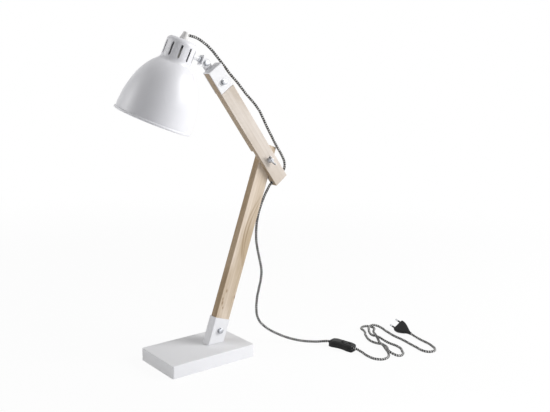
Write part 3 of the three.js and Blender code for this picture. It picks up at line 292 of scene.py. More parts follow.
FLOOR_ROUTE = [
    [288.5, -169.5, 8.5], [289.4, -173.4, 8.5], [291, -183.3, 7.69], [291.9, -196.4, 5.25],
    [291.3, -209.5, 3.14], [290.4, -222.5, 2.85], [292.9, -235.3, 2.85], [301.8, -244.6, 2.85],
    [314.6, -246.3, 2.85], [326.5, -241, 2.85], [336.2, -232.2, 2.85], [344.3, -221.9, 2.85],
    [351.1, -210.7, 2.85], [358.3, -199.7, 2.85], [364.8, -188.4, 2.85], [369.6, -176.2, 2.85],
    [376.8, -165.3, 2.85], [384.8, -154.8, 2.85], [392.5, -144.2, 2.85], [400.2, -133.8, 2.85],
    [406.9, -121.8, 2.85], [414.6, -113.9, 2.85], [427.4, -103.8, 2.85], [430.2, -90.7, 2.85],
    [424.8, -81.8, 2.85], [414.7, -79, 2.85], [402.5, -85.6, 2.85], [396.2, -100.5, 2.85],
    [389.9, -109.8, 2.85], [380.7, -119.8, 2.85], [373.2, -130.4, 2.85], [366.3, -141.6, 2.85],
    [361.6, -153.8, 2.85], [360.4, -166.8, 3.01], [359.8, -179.9, 4.7], [357.1, -192.8, 8.13],
    [352.6, -205.1, 9.67], [347.7, -217.3, 9.87], [338.7, -227.2, 9.77], [334.7, -240.3, 8.56],
    [339.6, -251, 5.02], [349.6, -254.9, 3.04], [363.2, -249.8, 2.85], [371.5, -239.4, 2.85],
    [379.8, -229.5, 2.85], [384.3, -217.1, 2.85], [385.6, -204.1, 2.85], [384.5, -191, 3.11],
    [382.7, -178, 5.38], [381.5, -165, 8.81], [382.2, -151.9, 8.83], [385.9, -139.3, 5.53],
    [391.6, -127.5, 3.17], [398.4, -116.3, 2.87], [406.7, -106.3, 3.34], [416.4, -97, 6.23],
    [429.6, -96.2, 8.79], [439.6, -102.7, 6.38], [442.6, -115.4, 3.39], [438.2, -128.2, 2.86],
    [434.8, -140.7, 2.85], [431, -153.3, 2.85], [428.1, -166.1, 2.85], [426.5, -179.1, 2.85],
    [425.1, -192.2, 2.85], [422.6, -205.1, 2.85], [419.6, -217.8, 2.85], [416.5, -230.6, 2.85],
    [414.2, -243.6, 2.85], [410.9, -256, 2.85], [410.5, -269.9, 2.85], [418.1, -279.3, 2.85],
    [429.7, -280.9, 2.85], [441.1, -273.2, 2.85], [447.4, -261.7, 2.85], [452.5, -249.7, 2.85],
    [455.3, -236.8, 2.85], [457.3, -223.9, 2.87], [458.7, -210.8, 3.76], [459.8, -197.8, 5.57],
    [460.4, -188.2, 7.16], [460.8, -184.2, 7.8],
]

# Where the cord passes from one moving part to the next
HEAD_BLEND = [(-30, -18, 664), (27, -12.5, 639)]
TILT_BLEND = [(30, -12.4, 636), (100, -11.5, 566)]
ELBOW_BLEND = [(189, -11.5, 366), (153, -9.3, 200)]

# Wood: each knot has its place and size, each streak its highest point, bend and width
SEAM_WIDTH = 1.6
SEAM_DEPTH = 2
PITH = (0, 21, 34)
RING_SWAY = 12
GRAIN_STRETCH = 0.06
GRAIN_TURN_DEG = (0, 1.2, 0.8)
KNOT_STRETCH = 0.45
STREAK_REACH = 95
LOWER_SEED = 0.31
UPPER_SEED = 0.72
LOWER_KNOTS = [(114, 8.5, 2.4), (96, 13, 2.1), (87, 11.5, 3), (77, 7, 2), (104, -16, 2.8)]
LOWER_STREAKS = [((252, 4.5), 3.0, 2.6), ((248, -3), 2.4, 1.6)]
# Painted shade: the tint that darkens and warms the arms' side faces
SIDE_FACE_PAINTED_SHADE = (0.7, 0.62, 0.51, 1)
WHITE = (1, 1, 1, 1)

# Depth of each finish's relief
GLOSS_RELIEF = 0.3
POWDER_RELIEF = 0.1
WOOD_RELIEF = 0.2
PLATED_RELIEF = 0.1
MOULDED_RELIEF = 0.2
BRAID_RELIEF = 0.3

# Braid
THREAD_STEP = 1.05
THREADS_AROUND = 8
ZIGZAGS = 2
BAND_PITCH = 5
ZIGZAG_REACH = 0.25
BLACK_SHARE = 0.7
WHITE_THREAD = (0.83, 0.82, 0.8, 1)
BLACK_THREAD = (0.012, 0.012, 0.012, 1)

# Floor and light, in metres: name, place, aim, size, power and any tint of each lamp
FLOOR_TONE = (0.9, 0.9, 0.9, 1)
FLOOR_SIZE = 14
FLOOR_GLOW = 0.94
FLOOR_FADE = (0.7, 2.2)
WORLD_LIGHT = 0.13
LAMPS = [
    ("key", (1.5, -1.4, 1.25), (0, 0, 0.35), (1.3, 1.3), 50),
    ("top", (0.1, 0.2, 2.1), (0.05, 0, 0.3), (1.5, 1.5), 5),
    ("left", (-1.6, 1.0, 1.2), (0, 0, 0.4), (1.0, 1.4), 17),
    ("front", (0.0, -0.62, 0.05), (0, 0, 0.025), (0.5, 0.07), 0.7, (0.9, 0.93, 1)),
]

# Camera, which looks at the lamp from the left and a little above
CAMERA_PLACE = Vector((-0.7743, -1.2052, 0.5878))
CAMERA_AIM = Vector((0.6197, 0.7643, -0.1783))
CAMERA_ROLL_DEG = 0.753
CAMERA_LENS = 46.53
SENSOR = 36

# Sizes that follow from the ones above
ARM_HALF = ARM_WIDTH / 2
HALF_THICKNESS = ARM_THICKNESS / 2
COVER_INSIDE = BASE_HEIGHT - BASE_WALL
FOOT_PLATE_TOP = BASE_HEIGHT + GAP + FOOT_PLATE
UPPER_BACK = UPPER_OFFSET - HALF_THICKNESS
UPPER_FRONT = UPPER_OFFSET + HALF_THICKNESS
HEAD_WEB = UPPER_LENGTH + GAP
HEAD_WEB_FACE = HEAD_WEB + SHEET
HEAD_BOLT_ALONG = UPPER_LENGTH - HEAD_BOLT_FROM_END
HEAD_BACK = UPPER_BACK - GAP - SHEET
TILT_ALONG = HEAD_WEB_FACE + EAR_REACH
CAP_WALL_NEAR = SHADE_REACH - CAP_RADIUS
STEM_START = LINK_REACH + WASHER_THICKNESS + NUT_HEIGHT + 3 * GAP


def bell_height(radius):
    """The height of the bell's outside where it has a given radius."""
    return BELL_RISE * math.sin(math.acos(radius / BELL_RADIUS)) - BELL_RIM


BELL_TOP = bell_height(CAP_RADIUS)
CAP_BOTTOM = BELL_TOP + GAP
CONTACT_FACE = SLEEVE_LENGTH - HOLDER_MOUTH - CONTACT_THICKNESS - GAP
BULB_SEAT = CONTACT_FACE - BULB_CONTACT_HEIGHT - BULB_CAP_LENGTH
CORD_RADIUS = CORD_DIAMETER / 2
CORD_BORE = CORD_RADIUS + CORD_CLEARANCE / 2


def metres(point):
    return tuple(v * MM for v in point)


def shift(x, y, z):
    return Matrix.Translation((x, y, z))


def turn(degrees, axis):
    return Matrix.Rotation(math.radians(degrees), 4, axis)


# Frames of the parts that carry pieces, in millimetres
STANDING = turn(90, "X")
LOWER = STANDING @ shift(FOOT_X, BASE_HEIGHT, 0) @ turn(LOWER_TILT_DEG, "Z")
ELBOW = LOWER @ shift(LOWER_LENGTH, 0, 0)
PIVOT = ELBOW @ turn(-LOWER_TILT_DEG, "Z")
UPPER = PIVOT @ turn(UPPER_TILT_DEG, "Z")
HEAD_BOLT_FRAME = UPPER @ shift(HEAD_BOLT_ALONG, 0, 0)
TILT_FRAME = UPPER @ shift(TILT_ALONG, EAR_DROP, 0)
LINK = TILT_FRAME @ turn(LINK_TURN_DEG, "Z")
SWIVEL = LINK @ shift(0, 0, UPPER_OFFSET) @ turn(90, "Y")
HEAD = LINK @ shift(SHADE_REACH, 0, UPPER_OFFSET) @ turn(90 - SHADE_TWIST_DEG, "X")
SWITCH = shift(SWITCH_X, SWITCH_Y, 0) @ turn(SWITCH_TURN_DEG, "Z")
ROCKER = SWITCH @ shift(ROCKER_ALONG, 0, ROCKER_PIN_HEIGHT) @ turn(ROCKER_TILT_DEG, "Y")
PLUG = (
    shift(PLUG_X, PLUG_Y, PLUG_Z)
    @ turn(PLUG_HEADING_DEG - 90, "Z")
    @ turn(PLUG_PITCH_DEG, "X")
    @ turn(-PLUG_ROLL_DEG, "Y")
)
SECTION_TO_X = Matrix(((0, 0, 1, 0), (1, 0, 0, 0), (0, 1, 0, 0), (0, 0, 0, 1)))


# Materials
def linear(red, green, blue):
    """A colour as it looks on a screen, 0 to 255, as the shader's own numbers."""
    shares = [v / 255 for v in (red, green, blue)]
    return [v / 12.92 if v <= 0.04045 else ((v + 0.055) / 1.055) ** 2.4 for v in shares] + [1]


class Nodes:
    """Makes and links the nodes of one tree."""

    def __init__(self, tree):
        self.tree = tree

    def add(self, kind, inputs=None, **settings):
        node = self.tree.nodes.new("ShaderNode" + kind)
        for key, value in settings.items():
            setattr(node, key, value)
        for key, value in (inputs or {}).items():
            if isinstance(value, bpy.types.NodeSocket):
                self.tree.links.new(value, node.inputs[key])
            else:
                node.inputs[key].default_value = value
        return node

    def place(self, scale=(1, 1, 1), move=(0, 0, 0), turned=(0, 0, 0)):
        source = self.add("TexCoord").outputs["Object"]
        turned = [math.radians(v) for v in turned]
        inputs = {"Vector": source, "Scale": scale, "Location": move, "Rotation": turned}
        return self.add("Mapping", inputs).outputs[0]

    def noise(self, where, scale, detail=2.0, roughness=0.5):
        inputs = {"Vector": where, "Scale": scale, "Detail": detail, "Roughness": roughness}
        return self.add("TexNoise", inputs).outputs["Fac"]

    def math(self, operation, first, second=0.0):
        return self.add("Math", {0: first, 1: second}, operation=operation).outputs[0]

    def mix(self, factor, first, second, blend="MIX"):
        inputs = {0: factor, 6: first, 7: second}
        return self.add("Mix", inputs, data_type="RGBA", blend_type=blend).outputs[2]

    def ramp(self, factor, *stops):
        node = self.add("ValToRGB", {"Fac": factor})
        marks = node.color_ramp.elements
        while len(marks) < len(stops):
            marks.new(0.5)
        for mark, (where, colour) in zip(marks, stops):
            mark.position = where
            mark.color = colour
        return node.outputs[0]

    def range(self, value, low, high):
        """Spreads a value from 0 to 1 over a range."""
        inputs = {"Value": value, "To Min": low, "To Max": high}
        return self.add("MapRange", inputs).outputs[0]


class Recipe(Nodes):
    """A material's nodes, wired to its one shader."""

    def __init__(self, name, **numbers):
        self.material = bpy.data.materials.new(name)
        self.material.use_nodes = True
        super().__init__(self.material.node_tree)
        self.shader = self.tree.nodes["Principled BSDF"]
        for key, value in numbers.items():
            self.shader.inputs[key.replace("_", " ")].default_value = value

    def wire(self, **sockets):
        for key, source in sockets.items():
            self.tree.links.new(source, self.shader.inputs[key.replace("_", " ")])

    def bump(self, height, strength, depth):
        inputs = {"Height": height, "Strength": strength, "Distance": depth * MM}
        self.wire(Normal=self.add("Bump", inputs).outputs[0])
        return self.material


def dimmed(tone, share):
    return [v * share for v in tone[:3]] + [1]


def grey(level):
    return (level, level, level, 1)


def enamel(name, tone):
    made = Recipe(name)
    where = made.place()
    cloud = made.noise(where, 24.0)
    made.wire(Base_Color=made.mix(cloud, tone, dimmed(tone, 0.96)))
    made.wire(Roughness=made.range(made.noise(where, 90.0, 4.0), 0.3, 0.4))
    return made.bump(made.noise(where, 420.0, 1.0), 0.05, GLOSS_RELIEF)


def powder(name, tone):
    made = Recipe(name)
    where = made.place()
    cloud = made.noise(where, 18.0, 4.0)
    made.wire(Base_Color=made.mix(cloud, tone, dimmed(tone, 0.95)))
    grain = made.noise(where, 1900.0, 3.0, 0.6)
    made.wire(Roughness=made.range(grain, 0.34, 0.5))
    return made.bump(grain, 0.1, POWDER_RELIEF)


def growth_rings(made, seed):
    """Rings around a pith outside the arm, which sway a little along the grain."""
    where = made.place((GRAIN_STRETCH, 1, 1), (seed, 0, 0), GRAIN_TURN_DEG)
    drift = made.noise(where, 26.0, 2.0)
    lifted = made.add("VectorMath", {0: where, 1: metres(PITH)}, operation="ADD").outputs[0]
    sway = made.add("CombineXYZ", {1: made.math("MULTIPLY", drift, RING_SWAY * MM)}).outputs[0]
    around = made.add("VectorMath", {0: lifted, 1: sway}, operation="ADD").outputs[0]
    inputs = {"Vector": around, "Scale": 74.0, "Distortion": 1.2, "Detail": 2.0, "Detail Scale": 0.6}
    kind = {"wave_type": "RINGS", "rings_direction": "X", "wave_profile": "SAW"}
    return made.add("TexWave", inputs, **kind).outputs["Fac"]


def pine(name, pale, dark, seed, knots, streaks):
    """Pale planed pine: growth rings that run along X, fine fibres, stains, knots, streaks, and painted
    shade on the side faces.
    """
    made = Recipe(name, Specular_IOR_Level=0.3)
    rings = growth_rings(made, seed)
    fibre = made.noise(made.place((9, 620, 620), (seed, 0, 0)), 1.0, 3.0, 0.65)
    stain = made.noise(made.place((6, 30, 30), (seed, seed, 0)), 1.0, 3.0)
    late = [0.3 * d + 0.7 * p for d, p in zip(dark, pale)]
    tone = made.ramp(rings, (0.0, pale), (0.62, pale), (0.9, late), (1.0, pale))
    tone = made.mix(made.ramp(stain, (0.38, grey(0)), (0.66, grey(0.75))), tone, dark)
    shade = made.ramp(fibre, (0.3, [0.86, 0.84, 0.82, 1]), (0.62, WHITE))
    tone = made.mix(0.55, tone, shade, "MULTIPLY")
    for x, y, size in knots:
        tone = knot(made, tone, (x * MM, y * MM), size * MM)
    for top, bend, width in streaks:
        tone = streak(made, tone, [v * MM for v in top], bend, width * MM)
    # Painted shade: the side faces are darkened and warmed
    tone = made.mix(painted_shade_sides(made), tone, SIDE_FACE_PAINTED_SHADE, "MULTIPLY")
    made.wire(Base_Color=tone, Roughness=made.range(fibre, 0.55, 0.75))
    height = made.math("ADD", fibre, made.math("MULTIPLY", rings, 0.4))
    return made.bump(height, 0.25, WOOD_RELIEF)


def knot(made, tone, place, size):
    """A dark knot with an uneven edge, stretched a little along the grain."""
    spot = made.place((KNOT_STRETCH, 1, 0), (-KNOT_STRETCH * place[0], -place[1], 0))
    reach = made.add("VectorMath", {0: spot}, operation="LENGTH").outputs["Value"]
    ragged = made.math("ADD", reach, made.math("MULTIPLY", made.noise(spot, 500.0), size * 0.7))
    shares = made.math("DIVIDE", ragged, size * 1.6)
    mask = made.ramp(
        shares, (0.1, [0.3, 0.21, 0.16, 1]), (0.45, [0.5, 0.4, 0.33, 1]),
        (0.62, [0.82, 0.77, 0.72, 1]), (1.0, WHITE),
    )
    return made.mix(0.85, tone, mask, "MULTIPLY")


def streak(made, tone, top, bend, width):
    """A dark growth line that arches over its highest point."""
    along, across, _ = split(made, made.add("TexCoord").outputs["Object"])
    reach = made.math("SUBTRACT", along, top[0])
    fall = made.math("MULTIPLY", made.math("MULTIPLY", reach, reach), bend)
    off = made.math("ADD", made.math("SUBTRACT", across, top[1]), fall)
    near = made.math("DIVIDE", made.math("ABSOLUTE", off), width)
    fade = made.math("DIVIDE", made.math("ABSOLUTE", reach), STREAK_REACH * MM)
    share = made.math("MAXIMUM", near, fade)
    mask = made.ramp(share, (0.0, [0.62, 0.54, 0.45, 1]), (1.0, WHITE))
    return made.mix(1.0, tone, mask, "MULTIPLY")


def painted_shade_sides(made):
    """The side faces of an arm, where shade is painted: 1 there and 0 on its other faces."""
    _, across, _ = split(made, made.add("TexCoord").outputs["Normal"])
    return made.math("MULTIPLY", across, across)


def plated(name, tone, roughness):
    made = Recipe(name, Metallic=1.0)
    where = made.place()
    cloud = made.noise(where, 160.0, 4.0)
    made.wire(Base_Color=made.mix(cloud, tone, dimmed(tone, 0.82)))
    made.wire(Roughness=made.range(cloud, roughness - 0.08, roughness + 0.12))
    return made.bump(made.noise(where, 1400.0, 2.0), 0.12, PLATED_RELIEF)


def moulded(name, tone, low, high, grain=1500.0, strength=0.14, shine=0.5):
    made = Recipe(name, Specular_IOR_Level=shine)
    where = made.place()
    cloud = made.noise(where, 60.0, 4.0)
    made.wire(Base_Color=made.mix(cloud, tone, dimmed(tone, 0.85)))
    made.wire(Roughness=made.range(made.noise(where, 300.0, 3.0), low, high))
    return made.bump(made.noise(where, grain, 2.0), strength, MOULDED_RELIEF)


def braid():
    """Black and white threads, plaited so that they make zigzag bands along the cord, with painted shade in
    the grooves between the threads.
    """
    made = Recipe("braid", Roughness=0.85, Sheen_Weight=0.25, Sheen_Roughness=0.5)
    along, around, _ = split(made, made.add("UVMap", uv_map="braid").outputs[0])
    steps = made.math("MULTIPLY", along, 1 / (THREAD_STEP * MM))
    turns = made.math("MULTIPLY", around, THREADS_AROUND)
    right = made.math("ADD", steps, turns)
    left = made.math("SUBTRACT", steps, turns)
    right_thread = made.math("FLOOR", right)
    left_thread = made.math("FLOOR", left)
    middle = made.math("MULTIPLY", made.math("ADD", right_thread, left_thread), 0.5)
    side = made.math("MULTIPLY", made.math("SUBTRACT", right_thread, left_thread), 0.5)
    zig = made.math("PINGPONG", made.math("DIVIDE", side, THREADS_AROUND / ZIGZAGS / 2), 1.0)
    bands = made.math("DIVIDE", middle, BAND_PITCH / THREAD_STEP)
    wave = made.math("FRACT", made.math("ADD", bands, made.math("MULTIPLY", zig, ZIGZAG_REACH)))
    black = made.math("LESS_THAN", wave, BLACK_SHARE)
    thread = made.math("MULTIPLY", ridge(made, right), ridge(made, left))
    tone = made.mix(black, WHITE_THREAD, BLACK_THREAD)
    # Painted shade: the colour is halved in the grooves between the threads
    hollow = made.ramp(thread, (0.0, grey(0.5)), (0.5, WHITE))
    made.wire(Base_Color=made.mix(1.0, tone, hollow, "MULTIPLY"))
    return made.bump(thread, 0.5, BRAID_RELIEF)


def split(made, vector):
    return made.add("SeparateXYZ", {0: vector}).outputs


def ridge(made, turns):
    return made.math("ABSOLUTE", made.math("SINE", made.math("MULTIPLY", turns, math.pi)))


PAINT = powder("powder coat", linear(229, 229, 231))
GLOSS = enamel("gloss enamel", linear(229, 229, 233))
LOWER_WOOD = pine(
    "pine of the lower arm", linear(214, 200, 184), linear(170, 149, 118), LOWER_SEED,
    LOWER_KNOTS, LOWER_STREAKS,
)
UPPER_WOOD = pine(
    "pine of the upper arm", linear(216, 207, 198), linear(192, 180, 166), UPPER_SEED, [], [],
)
NICKEL = plated("nickel plate", linear(188, 190, 194), 0.42)
BRASS = plated("brass", linear(214, 178, 104), 0.32)
BRAID = braid()
BLACK = moulded("black plastic", linear(15, 15, 16), 0.4, 0.55, shine=0.25)
WHITE_PLASTIC = moulded("white plastic", linear(226, 225, 223), 0.4, 0.55)
PORCELAIN = moulded("glazed porcelain", linear(236, 234, 228), 0.12, 0.22, 220.0, 0.05)
OPAL = moulded("opal glass", linear(244, 242, 236), 0.14, 0.2, 120.0, 0.02)
WEIGHT = moulded("cast weight", linear(122, 120, 116), 0.8, 0.95, 500.0, 0.6)
FOAM = moulded("foam pad", linear(46, 46, 47), 0.85, 0.95, 2400.0, 0.5)


# Mesh makers, in millimetres
def skin(rings, ends="caps"):
    """A surface through rings of points. Its ends are capped, open, or joined in a loop."""
    made = bmesh.new()
    rows = [[made.verts.new(point) for point in ring] for ring in rings]
    count = len(rows[0])
    pairs = list(zip(rows, rows[1:]))
    if ends == "loop":
        pairs.append((rows[-1], rows[0]))
    for low, high in pairs:
        for i in range(count):
            j = (i + 1) % count
            made.faces.new((low[i], low[j], high[j], high[i]))
    if ends == "caps":
        made.faces.new(rows[0][::-1])
        made.faces.new(rows[-1])
    bmesh.ops.remove_doubles(made, verts=made.verts, dist=TINY)
    bmesh.ops.recalc_face_normals(made, faces=made.faces)
    return made


def circle(radius, z, sides=ROUND_SIDES):
    angles = [2 * math.pi * i / sides for i in range(sides)]
    return [(radius * math.cos(a), radius * math.sin(a), z) for a in angles]


def lathe(profile, sides=ROUND_SIDES, ends="open"):
    """A profile of radius and height, turned about Z."""
    return skin([circle(max(r, 0), z, sides) for r, z in profile], ends)


def drill(radius, low, high):
    """A plain round bar along Z."""
    return lathe([(radius, low), (radius, high)], ends="caps")


def level(outline, z):
    return [(x, y, z) for x, y in outline]


def prism(outline, low, high):
    return skin([level(outline, z) for z in (low, high)])


def block(x, y, z):
    outline = [(x[0], y[0]), (x[1], y[0]), (x[1], y[1]), (x[0], y[1])]
    return prism(outline, *z)


def moved(mesh, matrix):
    bmesh.ops.transform(mesh, matrix=matrix, verts=mesh.verts)
    return mesh


def joined(*meshes):
    """Several shells as one mesh."""
    whole = bmesh.new()
    for mesh in meshes:
        part = bpy.data.meshes.new("part")
        mesh.to_mesh(part)
        mesh.free()
        whole.from_mesh(part)
        bpy.data.meshes.remove(part)
    return whole


def combined(mesh, *tools, how="DIFFERENCE"):
    """Cuts or unites solids."""
    base = meshed("loose", mesh)
    for tool in tools:
        step = base.modifiers.new("step", "BOOLEAN")
        step.operation = how
        step.solver = "EXACT"
        step.object = meshed("loose", tool)
    bpy.context.view_layer.update()
    whole = bpy.data.meshes.new_from_object(base.evaluated_get(bpy.context.evaluated_depsgraph_get()))
    made = bmesh.new()
    made.from_mesh(whole)
    for step in base.modifiers:
        bpy.data.objects.remove(step.object)
    bpy.data.objects.remove(base)
    return made


def linked(name, data):
    """An object of the scene."""
    made = bpy.data.objects.new(name, data)
    bpy.context.scene.collection.objects.link(made)
    return made


def meshed(name, mesh):
    data = bpy.data.meshes.new(name)
    mesh.to_mesh(data)
    mesh.free()
    return linked(name, data)


def halved(mesh, point, normal):
    """Keeps what lies behind a plane, and closes the cut."""
    everything = mesh.verts[:] + mesh.edges[:] + mesh.faces[:]
    bmesh.ops.bisect_plane(
        mesh, geom=everything, plane_co=point, plane_no=normal, clear_outer=True, dist=TINY,
    )
    rim = [edge for edge in mesh.edges if edge.is_boundary]
    bmesh.ops.holes_fill(mesh, edges=rim, sides=0)
    bmesh.ops.recalc_face_normals(mesh, faces=mesh.faces)
    return mesh


def arc(centre, radius, start, end, steps=CORNER_STEPS):
    """Points on an arc, from one angle in degrees to another."""
    points = []
    for i in range(steps + 1):
        a = math.radians(start + (end - start) * i / steps)
        points.append((centre[0] + radius * math.cos(a), centre[1] + radius * math.sin(a)))
    return points


def rounded_rectangle(length, width, corner):
    x, y = length / 2 - corner, width / 2 - corner
    return (
        arc((x, y), corner, 0, 90) + arc((-x, y), corner, 90, 180)
        + arc((-x, -y), corner, 180, 270) + arc((x, -y), corner, 270, 360)
    )


def round_ended(reach, radius):
    return [(reach, radius)] + arc((0, 0), radius, 90, 270, 4 * CORNER_STEPS) + [(reach, -radius)]


def folded(reach, low, high):
    """The section of a strap that comes back on itself: X to the web's face, Y across."""
    outer, inner = BEND, BEND_INSIDE
    web = reach[1]
    inside = web - SHEET
    return (
        [(reach[0], low)]
        + arc((web - outer, low + outer), outer, 270, 360)
        + arc((web - outer, high - outer), outer, 0, 90)
        + [(reach[0], high), (reach[0], high - SHEET)]
        + arc((inside - inner, high - SHEET - inner), inner, 90, 0)
        + arc((inside - inner, low + SHEET + inner), inner, 0, -90)
        + [(reach[0], low + SHEET)]
    )


def curved(a, b, c, d):
    """Points on a smooth curve from b towards c, where a and d are the points next to them."""
    made = []
    for k in range(CURVE_STEPS):
        t = k / CURVE_STEPS
        point = 0.5 * (
            2 * b + (c - a) * t + (2 * a - 5 * b + 4 * c - d) * t * t
            + (3 * b - a - 3 * c + d) * t ** 3
        )
        made.append(tuple(point))
    return made


def smooth_outline(points):
    """A closed curve through the points."""
    count = len(points)
    made = []
    for i in range(count):
        made += curved(*[Vector(points[(i + k) % count]) for k in (-1, 0, 1, 2)])
    return made


def smooth_profile(points):
    """An open curve through the points."""
    ends = [points[0]] + points + [points[-1]]
    made = []
    for i in range(1, len(ends) - 2):
        made += curved(*[Vector(p) for p in ends[i - 1:i + 3]])
    return made + [points[-1]]


def piece(name, mesh, place, body, material, node, edge=0.0, steps=2, sharp=35):
    """Puts a mesh in place as a piece that stands for a CAD node."""
    made = meshed(name, moved(mesh, Matrix.Scale(MM, 4)))
    made.data.polygons.foreach_set("use_smooth", [True] * len(made.data.polygons))
    made.data.set_sharp_from_angle(angle=math.radians(sharp))
    made.data.materials.append(material)
    made.matrix_world = Matrix.Scale(MM, 4) @ place @ Matrix.Scale(1 / MM, 4)
    if edge:
        ease(made, edge, steps)
    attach(made, body)
    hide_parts(node)


def ease(made, edge, steps=2):
    """Rounds a piece's edges."""
    bevel = made.modifiers.new("edges", "BEVEL")
    bevel.width = edge * MM
    bevel.segments = steps
    bevel.limit_method = "ANGLE"
    bevel.harden_normals = True


# Fasteners, each along Z with its head at the high end
def hexagon_ring(flats, z, slope):
    """A hexagon whose height changes by a slope towards its corners."""
    points = []
    for i in range(ROUND_SIDES):
        a = 2 * math.pi * i / ROUND_SIDES
        off = (a + math.pi / 6) % (math.pi / 3) - math.pi / 6
        radius = flats / 2 / math.cos(math.pi / 6 - abs(off))
        over = radius - flats / 2 * HEX_CHAMFER_SHARE
        points.append((radius * math.cos(a), radius * math.sin(a), z + over * slope))
    return points


def hexagon(flats, low, high, bore=0.0):
    """A chamfered hexagonal head or nut."""
    flat = flats / 2 * HEX_CHAMFER_SHARE
    rings = [
        circle(flat, low), hexagon_ring(flats, low, CHAMFER_SLOPE),
        hexagon_ring(flats, high, -CHAMFER_SLOPE), circle(flat, high),
    ]
    if not bore:
        return skin(rings)
    return skin(rings + [circle(bore / 2, high), circle(bore / 2, low)], "loop")


def threaded(diameter, low, high):
    """A threaded rod with a small bevel at both ends."""
    rows = max(2, math.ceil((high - low) / THREAD_PITCH * THREAD_ROWS))
    rings = []
    for k in range(rows + 1):
        z = low + (high - low) * k / rows
        near = min(z - low, high - z)
        ring = []
        for i in range(THREAD_SIDES):
            share = (z / THREAD_PITCH - i / THREAD_SIDES) % 1
            radius = diameter / 2 - THREAD_DEPTH * abs(2 * share - 1)
            radius = min(radius, diameter / 2 - THREAD_DEPTH + near)
            a = 2 * math.pi * i / THREAD_SIDES
            ring.append((radius * math.cos(a), radius * math.sin(a), z))
        rings.append(ring)
    return skin(rings)


def washer_mesh(seat):
    top = seat + WASHER_THICKNESS
    edge = GAP / 2
    outer, inner = WASHER_DIAMETER / 2, BOLT / 2 + GAP
    profile = [
        (inner, seat), (outer - edge, seat), (outer, seat + edge), (outer, top - edge),
        (outer - edge, top), (inner, top),
    ]
    return lathe(profile, ends="loop")


def hex_bolt(name, place, body, seat, end, height=HEAD_HEIGHT, front=1):
    head = hexagon(HEX_FLATS, seat, seat + height) if front > 0 else hexagon(HEX_FLATS, seat - height, seat)
    rod = threaded(BOLT, min(seat, end), max(seat, end))
    piece(name + "_steel", joined(head, rod), place, body, NICKEL, name)


def washer(name, place, body, seat):
    piece(name + "_steel", washer_mesh(seat), place, body, NICKEL, name)


def hex_nut(name, place, body, low, flats=HEX_FLATS, height=NUT_HEIGHT, bore=BOLT + 2 * GAP):
    nut = hexagon(flats, low, low + height, bore)
    piece(name + "_steel", nut, place, body, NICKEL, name)


def bolted(name, place, body, seat, washer_seat, low, height=HEAD_HEIGHT):
    """A bolt, its washer and its nut on one axis."""
    hex_bolt(name, place, body, seat, low - THREAD_SHOW, height)
    washer(name + "_washer", place, body, washer_seat)
    hex_nut(name + "_nut", place, body, low)


# Base and brackets
def add_base():
    inner = rounded_rectangle(
        BASE_LENGTH - 2 * BASE_WALL, BASE_WIDTH - 2 * BASE_WALL, BASE_CORNER - BASE_WALL,
    )
    outer = rounded_rectangle(BASE_LENGTH, BASE_WIDTH, BASE_CORNER)
    rings = [level(inner, COVER_INSIDE), level(inner, COVER_LIFT), level(outer, COVER_LIFT)]
    for r, z in arc((0, BASE_HEIGHT - BASE_EDGE), BASE_EDGE, 0, 90):
        inset = BASE_EDGE - r
        points = rounded_rectangle(BASE_LENGTH - 2 * inset, BASE_WIDTH - 2 * inset, BASE_CORNER - inset)
        rings.append(level(points, z))
    piece("base_shell", skin(rings), shift(0, 0, 0), "stand", PAINT, "base_cover", sharp=50)


def level_plane(height):
    """A level plane as a point and a normal in the lower arm's frame."""
    back = LOWER.inverted()
    return back @ Vector((0, 0, height)), back.to_3x3() @ Vector((0, 0, -1))


def foot_plate(web, half):
    """The bracket's level foot, which lies on the base."""
    lean = 1 / math.sin(math.radians(LOWER_TILT_DEG))
    slope = 1 / math.tan(math.radians(LOWER_TILT_DEG))
    side = half - SHEET / 2
    rings = []
    for z in (BASE_HEIGHT + GAP, FOOT_PLATE_TOP):
        x = FOOT_X + (z - BASE_HEIGHT) * slope
        left, right = x - (web - SHEET / 2) * lean, x + ARM_HALF * lean
        rings.append([(left, -side, z), (right, -side, z), (right, side, z), (left, side, z)])
    return moved(skin(rings), LOWER.inverted())


def add_foot_bracket():
    half = HALF_THICKNESS + GAP + SHEET
    web = ARM_HALF + GAP + SHEET
    section = folded((-ARM_HALF, web), -half, half)
    channel = moved(prism(section, -BASE_WIDTH, FOOT_BRACKET_LENGTH), SECTION_TO_X)
    halved(channel, *level_plane(BASE_HEIGHT + GAP))
    bracket = joined(channel, foot_plate(web, half))
    piece("foot_bracket", bracket, LOWER, "stand", PAINT, "base_bracket", edge=SHEET_EDGE)


def add_lower_arm():
    bar = block(
        (-BASE_WIDTH, LOWER_LENGTH + LOWER_END), (-ARM_HALF, ARM_HALF),
        (-HALF_THICKNESS, HALF_THICKNESS),
    )
    halved(bar, *level_plane(FOOT_PLATE_TOP + GAP))
    piece("lower_arm_wood", bar, LOWER, "stand", LOWER_WOOD, "lower_arm", edge=ARM_EDGE, steps=3)
    side = HALF_THICKNESS + GAP + SHEET
    bolted(
        "base_bolt", LOWER @ shift(FOOT_BOLT_ALONG, 0, 0), "stand",
        side + WASHER_THICKNESS + 2 * GAP, side + GAP, -side - GAP - NUT_HEIGHT,
    )


